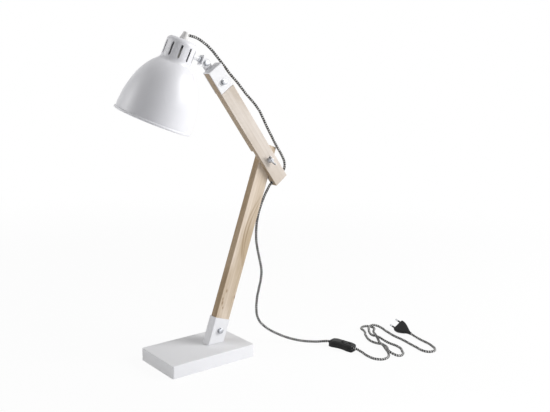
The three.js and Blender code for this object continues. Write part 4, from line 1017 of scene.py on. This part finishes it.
def add_upper_arm():
    notch = HALF_THICKNESS + NOTCH_CLEARANCE
    section = [
        (-UPPER_TAIL, UPPER_BACK), (-NOTCH_HALF, UPPER_BACK), (-NOTCH_HALF, notch),
        (NOTCH_HALF, notch), (NOTCH_HALF, UPPER_BACK), (UPPER_LENGTH, UPPER_BACK),
        (UPPER_LENGTH, UPPER_FRONT), (-UPPER_TAIL, UPPER_FRONT),
    ]
    bar = moved(prism(section, -ARM_HALF, ARM_HALF), turn(90, "X"))
    strap_end = HEAD_WEB_FACE - HEAD_BRACKET_LENGTH
    seam = block(
        (strap_end - SEAM_WIDTH, strap_end), (-ARM_WIDTH, ARM_WIDTH),
        (UPPER_FRONT - SEAM_DEPTH, UPPER_FRONT + ARM_WIDTH),
    )
    middle = shift(-CORD_HOLE_FROM_PIVOT, 0, UPPER_OFFSET) @ turn(90, "X")
    hole = moved(drill(CORD_HOLE / 2, -ARM_WIDTH, ARM_WIDTH), middle)
    arm = combined(bar, hole, seam)
    piece("upper_arm_wood", arm, UPPER, "upper_arm", UPPER_WOOD, "upper_arm", edge=ARM_EDGE, steps=3)


def add_head_bracket():
    front = UPPER_FRONT + GAP + SHEET
    section = folded((HEAD_WEB_FACE - HEAD_BRACKET_LENGTH, HEAD_WEB_FACE), HEAD_BACK, front)
    strap = moved(prism(section, -ARM_HALF, ARM_HALF), turn(90, "X"))
    ear = prism(round_ended(EAR_REACH + 2 * BEND, EAR_RADIUS), HEAD_BACK, HEAD_BACK + SHEET)
    moved(ear, shift(TILT_ALONG, EAR_DROP, 0) @ turn(180, "Z"))
    bracket = joined(strap, ear)
    piece("head_strap", bracket, UPPER, "upper_arm", PAINT, "head_bracket", edge=SHEET_EDGE)
    nut_top = HEAD_BACK - GAP
    bolted(
        "head_bolt", HEAD_BOLT_FRAME, "upper_arm",
        front + WASHER_THICKNESS + 2 * GAP, front + GAP, nut_top - NUT_HEIGHT,
    )
    washer_seat = nut_top - WASHER_THICKNESS
    bolted(
        "tilt_bolt", TILT_FRAME, "upper_arm",
        UPPER_BACK + SHEET + GAP, washer_seat, washer_seat - GAP - NUT_HEIGHT, LOW_HEAD_HEIGHT,
    )


def add_link():
    inside = LINK_REACH - SHEET
    section = (
        [(-EAR_RADIUS - BOLT, UPPER_BACK)]
        + arc((LINK_REACH - BEND, UPPER_BACK + BEND), BEND, 270, 360)
        + [(LINK_REACH, UPPER_FRONT), (inside, UPPER_FRONT)]
        + arc((inside - BEND_INSIDE, UPPER_BACK + SHEET + BEND_INSIDE), BEND_INSIDE, 0, -90)
        + [(-EAR_RADIUS - BOLT, UPPER_BACK + SHEET)]
    )
    plate = moved(prism(section, -EAR_RADIUS - BOLT, EAR_RADIUS + BOLT), turn(90, "X"))
    form = prism(round_ended(LINK_REACH + BOLT, EAR_RADIUS), UPPER_BACK - BOLT, UPPER_FRONT + BOLT)
    link = combined(plate, form, how="INTERSECT")
    piece("tilt_link", link, LINK, "head_link", PAINT, "tilt_bracket", edge=SHEET_EDGE)
    seat = inside - GAP
    end = CAP_WALL_NEAR + SHADE_WALL + NUT_HEIGHT + THREAD_SHOW + 3 * GAP
    hex_bolt("swivel_bolt", SWIVEL, "head_link", seat, end, LOW_HEAD_HEIGHT, front=-1)
    washer("swivel_washer", SWIVEL, "head_link", LINK_REACH + GAP)
    hex_nut("swivel_jam_nut", SWIVEL, "head_link", LINK_REACH + WASHER_THICKNESS + 2 * GAP)
    reach = math.sqrt((CAP_RADIUS - SHADE_WALL) ** 2 - (HEX_FLATS / 2) ** 2)
    hex_nut("swivel_inner_nut", SWIVEL, "head_link", SHADE_REACH - reach + 4 * GAP)


# Elbow: a carriage bolt from behind, a washer and a wing nut in front
def add_elbow():
    seat = -HALF_THICKNESS - GAP
    dome = smooth_profile([(r * DOME_DIAMETER / 2, seat - z * DOME_HEIGHT) for r, z in DOME_SHARES])
    half = NECK_SIZE / 2
    neck = block((-half, half), (-half, half), (seat, seat + NECK_LENGTH))
    front = UPPER_FRONT + WASHER_THICKNESS + 2 * GAP
    rod = threaded(BOLT, seat, front + WING_HUB_HEIGHT + THREAD_SHOW)
    bolt = joined(lathe([(0, seat)] + dome), neck, rod)
    piece("carriage_bolt", bolt, ELBOW, "stand", NICKEL, "elbow_bolt")
    washer("elbow_washer", PIVOT, "stand", UPPER_FRONT + GAP)
    add_wing_nut(front)


def add_wing_nut(seat):
    top = seat + WING_HUB_HEIGHT
    bore = BOLT / 2 + GAP
    edge = GAP * 2
    profile = [
        (bore, seat), (WING_HUB_BASE / 2 - edge, seat), (WING_HUB_BASE / 2, seat + edge),
        (WING_HUB_TOP / 2, top - edge), (WING_HUB_TOP / 2 - edge, top), (bore, top),
    ]
    outline = smooth_outline([(x * WING_SPAN / 2, y * WING_TOP) for x, y in WING_OUTLINE_SHARES])
    centre = Vector((WING_SPAN / 4, WING_TOP / 2))
    rings = []
    for share, depth in WING_LAYERS:
        ring = [centre + (Vector(p) - centre) * share for p in outline]
        rings.append(level(ring, depth * WING_THICKNESS))
    wings = []
    for half_turn in (0, 180):
        wings.append(moved(skin(rings), turn(half_turn, "Z") @ shift(0, 0, seat) @ turn(90, "X")))
    nut = moved(joined(lathe(profile, ends="loop"), *wings), turn(WING_TURN_DEG, "Z"))
    piece("wing_nut_cast", nut, PIVOT, "wing_nut", NICKEL, "wing_nut", sharp=50)


# Shade, in a frame with Z along its axis from rim to cap
def bell_curve(radius, rise, start):
    """The bell's side from the rim up, and its slope carries on to the cap."""
    top = math.acos(CAP_RADIUS / radius)
    points = []
    for i in range(BELL_ROWS + 1):
        a = start + (top - start) * i / BELL_ROWS
        points.append((radius * math.cos(a), rise * math.sin(a) - BELL_RIM))
    return points


def add_shade():
    bead = BEAD_DIAMETER / 2
    start = math.asin(bead / BELL_RISE)
    outer = bell_curve(BELL_RADIUS, BELL_RISE, start)
    inner = [p for p in bell_curve(BELL_RADIUS - SHADE_WALL, BELL_RISE - SHADE_WALL, start)
             if p[1] < BELL_TOP - 2 * SHADE_WALL]
    hole = HOLDER_DIAMETER / 2 + 2 * GAP
    roof = BELL_TOP - SHADE_WALL
    rim = arc((BELL_RADIUS, -BELL_RIM), bead, BEAD_FROM_DEG, BEAD_TO_DEG, 4 * CORNER_STEPS)
    profile = (
        [(hole, BELL_TOP)] + outer[::-1] + rim + inner
        + [(CAP_RADIUS - SHADE_WALL / 2, roof), (hole, roof)]
    )
    bell = lathe(profile, SHADE_SIDES, "loop")
    piece("bell", bell, HEAD, "head", GLOSS, "shade", sharp=60)


def cap_flare():
    """The hollow curve from the cap's lip, which lies on the bell, up to its side."""
    lip = bell_height(CAP_RADIUS + CAP_FLARE) + CAP_SEAM
    waist = CAP_BOTTOM + CAP_FLARE_HEIGHT
    whole = math.radians(CAP_FLARE_DEG)
    steps = 2 * CORNER_STEPS
    points = [(CAP_RADIUS + CAP_FLARE, lip)]
    for i in range(steps, -1, -1):
        turned = whole * i / steps
        out = (1 - math.cos(turned)) / (1 - math.cos(whole))
        down = math.sin(turned) / math.sin(whole)
        points.append((CAP_RADIUS + CAP_FLARE * out, waist - (waist - lip - CAP_LIP) * down))
    return points


def add_cap():
    centre = (CAP_RADIUS - CAP_SHOULDER, CAP_TOP - CAP_SHOULDER)
    hole = TUBE_DIAMETER / 2 + GAP
    profile = (
        cap_flare()
        + arc(centre, CAP_SHOULDER, 0, 90, 2 * CORNER_STEPS)
        + [(hole, CAP_TOP), (hole, CAP_TOP - SHADE_WALL)]
        + arc(centre, CAP_SHOULDER - SHADE_WALL, 90, 0, 2 * CORNER_STEPS)
        + [(CAP_RADIUS - SHADE_WALL, CAP_BOTTOM), (CAP_RADIUS, CAP_BOTTOM)]
    )
    straight = (SLOT_LENGTH - SLOT_WIDTH) / 2
    slot = arc((straight, 0), SLOT_WIDTH / 2, -90, 90) + arc((-straight, 0), SLOT_WIDTH / 2, 90, 270)
    cuts = []
    for i in range(SLOT_PLACES):
        if i == SLOT_LEFT_OUT:
            continue
        cut = prism(slot, CAP_RADIUS - 2 * CAP_SHOULDER, CAP_RADIUS + CAP_SHOULDER)
        around = SLOT_FIRST_DEG + 360 * i / SLOT_PLACES
        cuts.append(moved(cut, shift(0, 0, -SLOT_DROP) @ turn(around, "Z") @ turn(90, "Y")))
    shell = combined(lathe(profile, SHADE_SIDES, "loop"), joined(*cuts))
    piece("slotted_cap", shell, HEAD, "head", GLOSS, "cap", edge=GAP / 2, sharp=40)


def add_stem():
    start = STEM_START - SHADE_REACH
    inner, outer = BOLT / 2 + GAP, STEM_DIAMETER / 2
    profile = [
        (inner, start), (outer - GAP, start), (outer, start + GAP), (outer, -CAP_RADIUS),
        (inner, -CAP_RADIUS),
    ]
    stem = moved(lathe(profile, ends="loop"), turn(90, "Y"))
    piece("stem_tube", stem, HEAD, "head", PAINT, "shade_stem")


def add_grip():
    bottom = CAP_TOP + GAP
    top = bottom + GRIP_HEIGHT
    low, high = GRIP_BASE / 2, GRIP_TOP / 2
    profile = (
        [(0, bottom), (low - GAP, bottom), (low, bottom + GAP)]
        + arc((high - GRIP_EDGE, top - GRIP_EDGE), GRIP_EDGE, 0, 90)
        + [(0, top)]
    )
    pocket = drill(CORD_BORE, -GRIP_BASE, GRIP_POCKET - high)
    moved(pocket, shift(0, 0, bottom + GRIP_EXIT) @ turn(90, "Y"))
    grip = combined(lathe(profile, ROUND_SIDES), pocket)
    piece("cord_grip_cap", grip, HEAD, "head", WHITE_PLASTIC, "cord_grip", edge=GAP / 2)


def add_lampholder():
    low, high = HOLDER_TOP - TUBE_INTO_HOLDER + GAP, CAP_TOP + TUBE_INTO_GRIP
    bore = drill(TUBE_BORE / 2, low - BOLT, high + BOLT)
    tube = combined(threaded(TUBE_DIAMETER, low, high), bore)
    piece("nipple", tube, HEAD, "head", NICKEL, "threaded_tube")
    nut_low = CAP_TOP - SHADE_WALL - GAP - TUBE_NUT_HEIGHT
    hex_nut("tube_nut", HEAD, "head", nut_low, TUBE_NUT_FLATS, TUBE_NUT_HEIGHT, TUBE_DIAMETER + 2 * GAP)
    add_holder_body()
    add_shade_ring()
    add_thread_sleeve()
    add_bulb_cap()
    add_bulb_glass()


def add_holder_body():
    flange = BELL_TOP + GAP
    flange_top = flange + HOLDER_FLANGE
    outer, wide = HOLDER_DIAMETER / 2, HOLDER_FLANGE_DIAMETER / 2
    bore = (BULB_CAP_DIAMETER + 2 * SLEEVE_WALL + 4 * GAP) / 2
    tube_hole = TUBE_DIAMETER / 2 + GAP
    depth = SLEEVE_LENGTH - HOLDER_MOUTH + GAP
    edge = 2 * GAP
    profile = [
        (bore, -HOLDER_MOUTH + edge), (bore + edge, -HOLDER_MOUTH), (outer - edge, -HOLDER_MOUTH),
        (outer, -HOLDER_MOUTH + edge), (outer, flange), (wide - edge, flange), (wide, flange + edge),
        (wide, flange_top - edge), (wide - edge, flange_top), (outer, flange_top),
        (outer, HOLDER_TOP - HOLDER_SHOULDER), (outer - HOLDER_SHOULDER, HOLDER_TOP),
        (tube_hole, HOLDER_TOP), (tube_hole, 0), (TUBE_BORE / 2, 0), (TUBE_BORE / 2, depth), (bore, depth),
    ]
    body = lathe(profile, ROUND_SIDES, "loop")
    piece("lampholder", body, HEAD, "head", PORCELAIN, "lampholder_body", edge=GAP / 2)


def add_shade_ring():
    top = BELL_TOP - SHADE_WALL - GAP
    low = top - RING_HEIGHT
    count = 4 * RING_RIBS
    inner = HOLDER_DIAMETER / 2 + GAP
    rings = [circle(inner, top, count)]
    insets = ((top, 2 * RING_BEVEL), (top - RING_BEVEL, 0), (low + RING_BEVEL, 0), (low, RING_BEVEL))
    for z, inset in insets:
        ring = []
        for i, (x, y, _) in enumerate(circle(1, 0, count)):
            radius = RING_DIAMETER / 2 - inset - (0 if i % 4 < 2 else GAP * 2)
            ring.append((x * radius, y * radius, z))
        rings.append(ring)
    rings.append(circle(inner, low, count))
    piece("shade_ring", skin(rings, "loop"), HEAD, "head", PORCELAIN, "lampholder_ring", sharp=50)


def add_thread_sleeve():
    rows = int(SLEEVE_LENGTH / BULB_THREAD_PITCH * BULB_THREAD_ROWS)
    hole = BULB_CAP_DIAMETER / 2 + GAP
    profile = []
    for r, order in ((hole, 1), (hole + SLEEVE_WALL, -1)):
        row = []
        for k in range(rows + 1):
            z = -HOLDER_MOUTH + (CONTACT_FACE + HOLDER_MOUTH) * k / rows
            wave = BULB_THREAD_DEPTH / 3 * math.sin(2 * math.pi * z / BULB_THREAD_PITCH)
            row.append((r + wave, z))
        profile += row[::order]
    sleeve = lathe(profile, ROUND_SIDES, "loop")
    piece("thread_sleeve", sleeve, HEAD, "head", BRASS, "lampholder_sleeve")


def add_bulb_cap():
    radius, contact = BULB_CAP_DIAMETER / 2, BULB_CONTACT_DIAMETER / 2
    straight = BULB_CAP_SHARES[1][1] * BULB_CAP_LENGTH
    rows = int(straight / BULB_THREAD_PITCH * BULB_THREAD_ROWS)
    profile = [(0, BULB_SEAT), (radius - GAP, BULB_SEAT)]
    for k in range(rows + 1):
        z = BULB_SEAT + straight * k / rows
        wave = BULB_THREAD_DEPTH / 2 * (1 - math.cos(2 * math.pi * (z - BULB_SEAT) / BULB_THREAD_PITCH))
        profile.append((radius - wave, z))
    tip = BULB_SEAT + BULB_CAP_LENGTH
    profile += [(BULB_CAP_SHARES[2][0] * radius, tip), (contact, tip)]
    profile += [(contact, CONTACT_FACE - GAP), (contact - GAP, CONTACT_FACE), (0, CONTACT_FACE)]
    piece("bulb_thread", lathe(profile), HEAD, "head", NICKEL, "bulb_cap")


def add_bulb_glass():
    centre = (0, BULB_DIAMETER / 2 - BULB_END)
    radius, neck = BULB_DIAMETER / 2, BULB_NECK / 2
    steps = 6 * CORNER_STEPS
    start = math.degrees(math.acos(BULB_NECK / BULB_DIAMETER))
    outer = [(neck, BULB_SEAT - GAP)] + arc(centre, radius, start, -90, steps)
    inside = radius - BULB_WALL
    start = math.degrees(math.acos((neck - BULB_WALL) / inside))
    inner = arc(centre, inside, -90, start, steps) + [(neck - BULB_WALL, BULB_SEAT - GAP)]
    glass = lathe(outer + inner, ROUND_SIDES, "loop")
    piece("bulb_opal", glass, HEAD, "head", OPAL, "bulb_glass", sharp=60)


# Switch: X along the cord, Z up from the floor
def switch_ring(inset, z):
    side = [
        (x * (SWITCH_LENGTH - 2 * inset), y * (SWITCH_WIDTH - 2 * inset))
        for x, y in SWITCH_OUTLINE_SHARES
    ]
    return level(smooth_outline(side + [(x, -y) for x, y in side[::-1]]), z)


def arch_at(x):
    """How far the switch's top rises over its ends, which lie on the floor."""
    return SWITCH_ARCH * (1 - (2 * x / SWITCH_LENGTH) ** 2)


def arched(mesh):
    """Bends a shell of the switch upwards in its middle, and lays its level faces in strips."""
    for face in [face for face in mesh.faces if len(face.verts) > 2 * CORNER_STEPS]:
        corners = face.verts[:]
        count = len(corners)
        first = max(range(count), key=lambda i: corners[i].co.x)
        ring = corners[first:] + corners[:first]
        mesh.faces.remove(face)
        for i in range(count // 2):
            strip = (ring[i], ring[i + 1], ring[-i - 1], ring[-i])
            mesh.faces.new(tuple(dict.fromkeys(strip)))
    for corner in mesh.verts:
        x, _, z = corner.co
        corner.co.z = z * (1 - SWITCH_ARCH / SWITCH_HEIGHT) + arch_at(x)
    bmesh.ops.recalc_face_normals(mesh, faces=mesh.faces)
    return mesh


def switch_bore():
    """The room of the cord, which runs through both shells."""
    return moved(drill(CORD_BORE, -SWITCH_LENGTH, SWITCH_LENGTH), shift(0, 0, SWITCH_SPLIT) @ turn(90, "Y"))


def add_switch():
    foot = SWITCH_FOOT_BEVEL
    rings = [switch_ring(foot - r, z) for r, z in arc((0, foot), foot, -90, 0, 3)]
    rings += [switch_ring(0, SWITCH_SPLIT - GAP), switch_ring(GAP, SWITCH_SPLIT)]
    base = combined(arched(skin(rings)), switch_bore())
    piece("switch_lower", base, SWITCH, "stand", BLACK, "switch_base", sharp=50)
    seat = SWITCH_HEIGHT - SWITCH_SCREW_SINK - SWITCH_SCREW_HEAD_HEIGHT
    add_switch_cover(seat)
    add_rocker()
    add_switch_screw(seat)


def add_switch_cover(seat):
    bottom, top = SWITCH_SPLIT + GAP, SWITCH_BEVEL
    rings = [switch_ring(GAP, bottom), switch_ring(0, bottom + GAP)]
    rings += [switch_ring(top - r, z) for r, z in arc((0, SWITCH_HEIGHT - top), top, 0, 90, 5)]
    half = (ROCKER_LENGTH / 2 + ROCKER_CLEARANCE, ROCKER_WIDTH / 2 + ROCKER_CLEARANCE)
    window = block(
        (ROCKER_ALONG - half[0], ROCKER_ALONG + half[0]), (-half[1], half[1]),
        (bottom + GAP, SWITCH_HEIGHT + FAR),
    )
    sink = moved(drill(SWITCH_SCREW_HEAD / 2 + GAP, seat, FAR), shift(SWITCH_SCREW_ALONG, 0, 0))
    cover = combined(arched(skin(rings)), window, sink, switch_bore())
    piece("switch_upper", cover, SWITCH, "stand", BLACK, "switch_cover", edge=GAP, sharp=40)


def add_rocker():
    half, side = ROCKER_LENGTH / 2, ROCKER_WIDTH / 2
    valley = SWITCH_HEIGHT - ROCKER_PIN_HEIGHT
    shares = [k / ROCKER_STEPS for k in range(ROCKER_STEPS, -ROCKER_STEPS - 1, -1)]
    section = [(-half, 0), (-half / 2, -ROCKER_DEPTH), (half / 2, -ROCKER_DEPTH), (half, 0)]
    section += [(half * s, valley + ROCKER_RISE / 2 * s * s) for s in shares]
    rocker = moved(prism(section, -side, side), turn(90, "X"))
    piece("rocker_key", rocker, ROCKER, "rocker", BLACK, "switch_rocker", edge=GAP, steps=3, sharp=30)


def add_switch_screw(seat):
    top = seat + SWITCH_SCREW_HEAD_HEIGHT
    radius = SWITCH_SCREW_HEAD / 2
    head = lathe([(0, seat), (radius, seat), (radius, top - GAP), (radius - GAP, top), (0, top)])
    long, narrow = [(-reach, reach) for reach in (SWITCH_SCREW_HEAD / 3, GAP)]
    deep = (top - SWITCH_SCREW_SLOT, FAR)
    head = combined(head, block(long, narrow, deep), block(narrow, long, deep))
    screw = joined(head, threaded(SWITCH_SCREW_DIAMETER, BOLT / 2, seat))
    moved(screw, shift(SWITCH_SCREW_ALONG, 0, 0))
    piece("switch_screw_cross", screw, SWITCH, "stand", NICKEL, "switch_screw")


# Plug: Y out along the pins, X across them
def share_at(table, y):
    for (x1, y1), (x2, y2) in zip(table, table[1:]):
        if y2 <= y <= y1:
            return x1 + (x2 - x1) * (y1 - y) / (y1 - y2)
    return table[-1][0]


def plug_ring(y, inset, grow=0.0):
    """A section of the plug: a rectangle with well-rounded corners."""
    width = 2 * share_at(PLUG_OUTLINE_SHARES, y) * PLUG_WIDTH - 2 * inset + grow
    height = 2 * share_at(PLUG_SIDE_SHARES, y) * PLUG_THICKNESS - 2 * inset + grow
    corner = min(width, height) / 2 - TINY
    corner = min(corner, PLUG_BEVEL + PLUG_BEVEL_GROWTH * (1 - share_at(PLUG_SIDE_SHARES, y)))
    return [(x, y * PLUG_LENGTH, z) for x, z in rounded_rectangle(width, height, corner)]


def plug_rib(y):
    """How far the ribs at the cord's end draw a section in."""
    if y >= PLUG_RIBS_FROM:
        return 0.0
    wave = math.cos(2 * math.pi * (y + 1) / PLUG_RIB_PITCH_SHARE)
    return -PLUG_RIB_DEPTH * (0.5 + 0.5 * wave)


def add_plug():
    rings = [plug_ring(y, inset) for y, inset in PLUG_FACE_INSETS]
    start = PLUG_FACE_INSETS[-1][0]
    for i in range(2, PLUG_ROWS + 1):
        y = start - (1 + start) * i / PLUG_ROWS
        rings.append(plug_ring(y, 0, plug_rib(y)))
    hole = moved(drill(CORD_RADIUS + CORD_CLEARANCE / 4, -FAR, PLUG_POCKET - PLUG_LENGTH), turn(-90, "X"))
    radius = PIN_DIAMETER / 2
    sleeves = [pin_mesh(-PLUG_BEVEL, PIN_SLEEVE, radius, side) for side in (-1, 1)]
    collars = [pin_mesh(-PLUG_BEVEL, COLLAR_HEIGHT, radius + COLLAR_RIM, side) for side in (-1, 1)]
    plug = joined(combined(skin(rings), hole), *sleeves, *collars)
    piece("plug_moulded", plug, PLUG, "stand", BLACK, "plug_body", sharp=40)
    for i, side in enumerate((-1, 1)):
        pin = pin_mesh(PIN_SLEEVE + GAP / 3, PIN_SLEEVE + PIN_TIP, radius - PIN_SLIM, side, PIN_NOSE)
        piece(f"pin_{i + 1}", pin, PLUG, "stand", NICKEL, f"plug_pin_{i + 1}")


def pin_mesh(low, high, radius, side, nose=SLEEVE_NOSE):
    """A round pin with an eased end."""
    ends = arc((radius - nose, high - nose), nose, 0, 90, CURVE_STEPS)
    pin = lathe([(0, low), (radius, low)] + ends + [(0, high)])
    return moved(pin, shift(side * PIN_SPACING / 2, 0, 0) @ turn(-90, "X"))


# Cord
def cord_path(route):
    """Even points on the curve through a route, in metres."""
    points = [Vector(p) for p in route]
    points = [2 * points[0] - points[1]] + points + [2 * points[-1] - points[-2]]
    fine = []
    for i in range(1, len(points) - 2):
        fine += passed(*points[i - 1:i + 3])
    fine.append(points[-2])
    lengths = [0.0]
    for a, b in zip(fine, fine[1:]):
        lengths.append(lengths[-1] + (b - a).length)
    count = round(lengths[-1] / CORD_STEP)
    path, k = [], 0
    for i in range(count + 1):
        goal = lengths[-1] * i / count
        while k < len(fine) - 2 and lengths[k + 1] < goal:
            k += 1
        share = (goal - lengths[k]) / (lengths[k + 1] - lengths[k])
        path.append(fine[k].lerp(fine[k + 1], share) * MM)
    return path, lengths[-1] * MM


def passed(a, b, c, d):
    """Points on a centripetal curve from b to c."""
    gaps = [math.sqrt((q - p).length) for p, q in ((a, b), (b, c), (c, d))]
    start = ((b - a) / gaps[0] - (c - a) / (gaps[0] + gaps[1]) + (c - b) / gaps[1]) * gaps[1]
    end = ((c - b) / gaps[1] - (d - b) / (gaps[1] + gaps[2]) + (d - c) / gaps[2]) * gaps[1]
    made = []
    for k in range(ROUTE_STEPS):
        t = k / ROUTE_STEPS
        made.append(
            b + start * t + (3 * (c - b) - 2 * start - end) * t * t
            + (2 * (b - c) + start + end) * t ** 3
        )
    return made


def cord_rows(mesh, path):
    """Rings of corners around a path, which don't twist from one to the next."""
    side = Vector((0, 1, 0))
    rows = []
    for i, point in enumerate(path):
        ahead = (path[min(i + 1, len(path) - 1)] - path[max(i - 1, 0)]).normalized()
        side = (side - ahead * side.dot(ahead)).normalized()
        up = ahead.cross(side)
        rows.append([])
        for k in range(CORD_SIDES):
            a = 2 * math.pi * k / CORD_SIDES
            offset = (side * math.cos(a) + up * math.sin(a)) * CORD_RADIUS * MM
            rows[-1].append(mesh.verts.new(point + offset))
    return rows


def cord_tube(name, route, node, start):
    """A tube with the braid's place along and around it, and its path."""
    path, length = cord_path(route)
    mesh = bmesh.new()
    layer = mesh.loops.layers.uv.new("braid")
    rows = cord_rows(mesh, path)
    for i, (low, high) in enumerate(zip(rows, rows[1:])):
        for k in range(CORD_SIDES):
            j = (k + 1) % CORD_SIDES
            face = mesh.faces.new((low[k], low[j], high[j], high[k]))
            face.smooth = True
            corners = ((i, k), (i, k + 1), (i + 1, k + 1), (i + 1, k))
            for loop, (row, around) in zip(face.loops, corners):
                along = start + length * row / (len(path) - 1)
                loop[layer].uv = (along, around / CORD_SIDES)
    mesh.faces.new(rows[0])
    mesh.faces.new(rows[-1][::-1])
    bmesh.ops.recalc_face_normals(mesh, faces=mesh.faces)
    made = meshed(name, mesh)
    made.data.materials.append(BRAID)
    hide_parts(node)
    return made, path, length


def add_cord():
    """Each piece has its name, node, route, moving parts, places between them, far end and fittings."""
    switch = ["switch_lower", "switch_upper", "rocker_key", "switch_screw_cross"]
    plug = ["plug_moulded", "pin_1", "pin_2"]
    tilting, turning = ["head_link", "upper_arm"], ["upper_arm", "stand"]
    start = 0.0
    for name, node, route, bodies, places, far_end, pieces in (
        ("braided_cord_a", "cord_head_a", HEAD_ROUTE_A, ["head", "head_link"], HEAD_BLEND, "object", []),
        ("braided_cord_b", "cord_head_b", HEAD_ROUTE_B, tilting, TILT_BLEND, "object", []),
        ("braided_cord_c", "cord_down", DOWN_ROUTE, turning, ELBOW_BLEND, "fitting", switch),
        ("braided_cord_d", "cord_floor", FLOOR_ROUTE, ["stand"], [], "plug", plug),
    ):
        made, path, length = cord_tube(name, route, node, start)
        if places:
            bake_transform(made)
        else:
            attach(made, *bodies)
        start += length


def dress_kept_nodes():
    """Finishes and eased edges for the CAD solids that are shown as they are."""
    kept = {
        "base_weight": WEIGHT, "base_pad": FOAM, "bracket_screw_1": NICKEL,
        "bracket_screw_2": NICKEL, "lampholder_contact": BRASS, "switch_contacts": BRASS,
    }
    for name, material in kept.items():
        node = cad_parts[name]
        node.data.materials.clear()
        node.data.materials.append(material)
        ease(node, GAP / 2)


# Camera, floor and light
def add_camera():
    data = bpy.data.cameras.new("camera")
    data.lens = CAMERA_LENS
    data.sensor_width = SENSOR
    camera = linked("camera", data)
    ahead = CAMERA_AIM.normalized()
    right = ahead.cross(Vector((0, 0, 1))).normalized()
    up = right.cross(ahead)
    a = math.radians(CAMERA_ROLL_DEG)
    right, up = right * math.cos(a) + up * math.sin(a), up * math.cos(a) - right * math.sin(a)
    turned = Matrix((right, up, -ahead)).transposed().to_4x4()
    camera.matrix_world = Matrix.Translation(CAMERA_PLACE) @ turned
    bpy.context.scene.camera = camera


def add_lamp(name, place, aim, size, power, tone=(1, 1, 1)):
    data = bpy.data.lights.new(name, "AREA")
    data.shape = "RECTANGLE"
    data.size, data.size_y = size
    data.energy = power
    data.color = tone
    lamp = linked(name, data)
    lamp.location = place
    lamp.rotation_euler = (Vector(aim) - Vector(place)).to_track_quat("-Z", "Y").to_euler()


def backdrop_share(made):
    """Where a ray from the camera, a reflection or a see-through piece meets the backdrop."""
    path = made.add("LightPath").outputs
    seen = made.math("MAXIMUM", path["Is Camera Ray"], path["Is Glossy Ray"])
    return made.math("MAXIMUM", seen, path["Is Transmission Ray"])


def add_floor():
    bpy.ops.mesh.primitive_plane_add(size=FLOOR_SIZE, location=(0, 0, 0))
    floor = bpy.context.object
    floor.name = "floor"
    made = Recipe("pale floor", Roughness=0.9, Specular_IOR_Level=0.0)
    made.shader.inputs["Base Color"].default_value = FLOOR_TONE
    glow = made.add("Emission", {"Color": WHITE, "Strength": 1.0}).outputs[0]
    away = made.add("VectorMath", {0: made.place((1, 1, 0))}, operation="LENGTH").outputs["Value"]
    inputs = {
        "Value": away, "From Min": FLOOR_FADE[0], "From Max": FLOOR_FADE[1], "To Min": FLOOR_GLOW,
    }
    bright = made.add("MapRange", inputs, interpolation_type="SMOOTHSTEP").outputs[0]
    share = made.math("MULTIPLY", backdrop_share(made), bright)
    mixed = made.add("MixShader", {0: share, 1: made.shader.outputs[0], 2: glow}).outputs[0]
    made.tree.links.new(mixed, made.tree.nodes["Material Output"].inputs[0])
    floor.data.materials.append(made.material)


def add_world():
    world = bpy.data.worlds.new("studio")
    bpy.context.scene.world = world
    world.use_nodes = True
    made = Nodes(world.node_tree)
    background = made.tree.nodes["Background"]
    background.inputs[0].default_value = WHITE
    strength = made.range(backdrop_share(made), WORLD_LIGHT, 1.0)
    made.tree.links.new(strength, background.inputs[1])


def build():
    add_camera()
    add_base()
    add_foot_bracket()
    add_lower_arm()
    add_upper_arm()
    add_head_bracket()
    add_link()
    add_elbow()
    add_shade()
    add_cap()
    add_stem()
    add_grip()
    add_lampholder()
    add_switch()
    add_plug()
    add_cord()
    dress_kept_nodes()
    add_floor()
    add_world()
    for lamp in LAMPS:
        add_lamp(*lamp)
    bpy.context.scene.view_settings.view_transform = "Standard"


build()
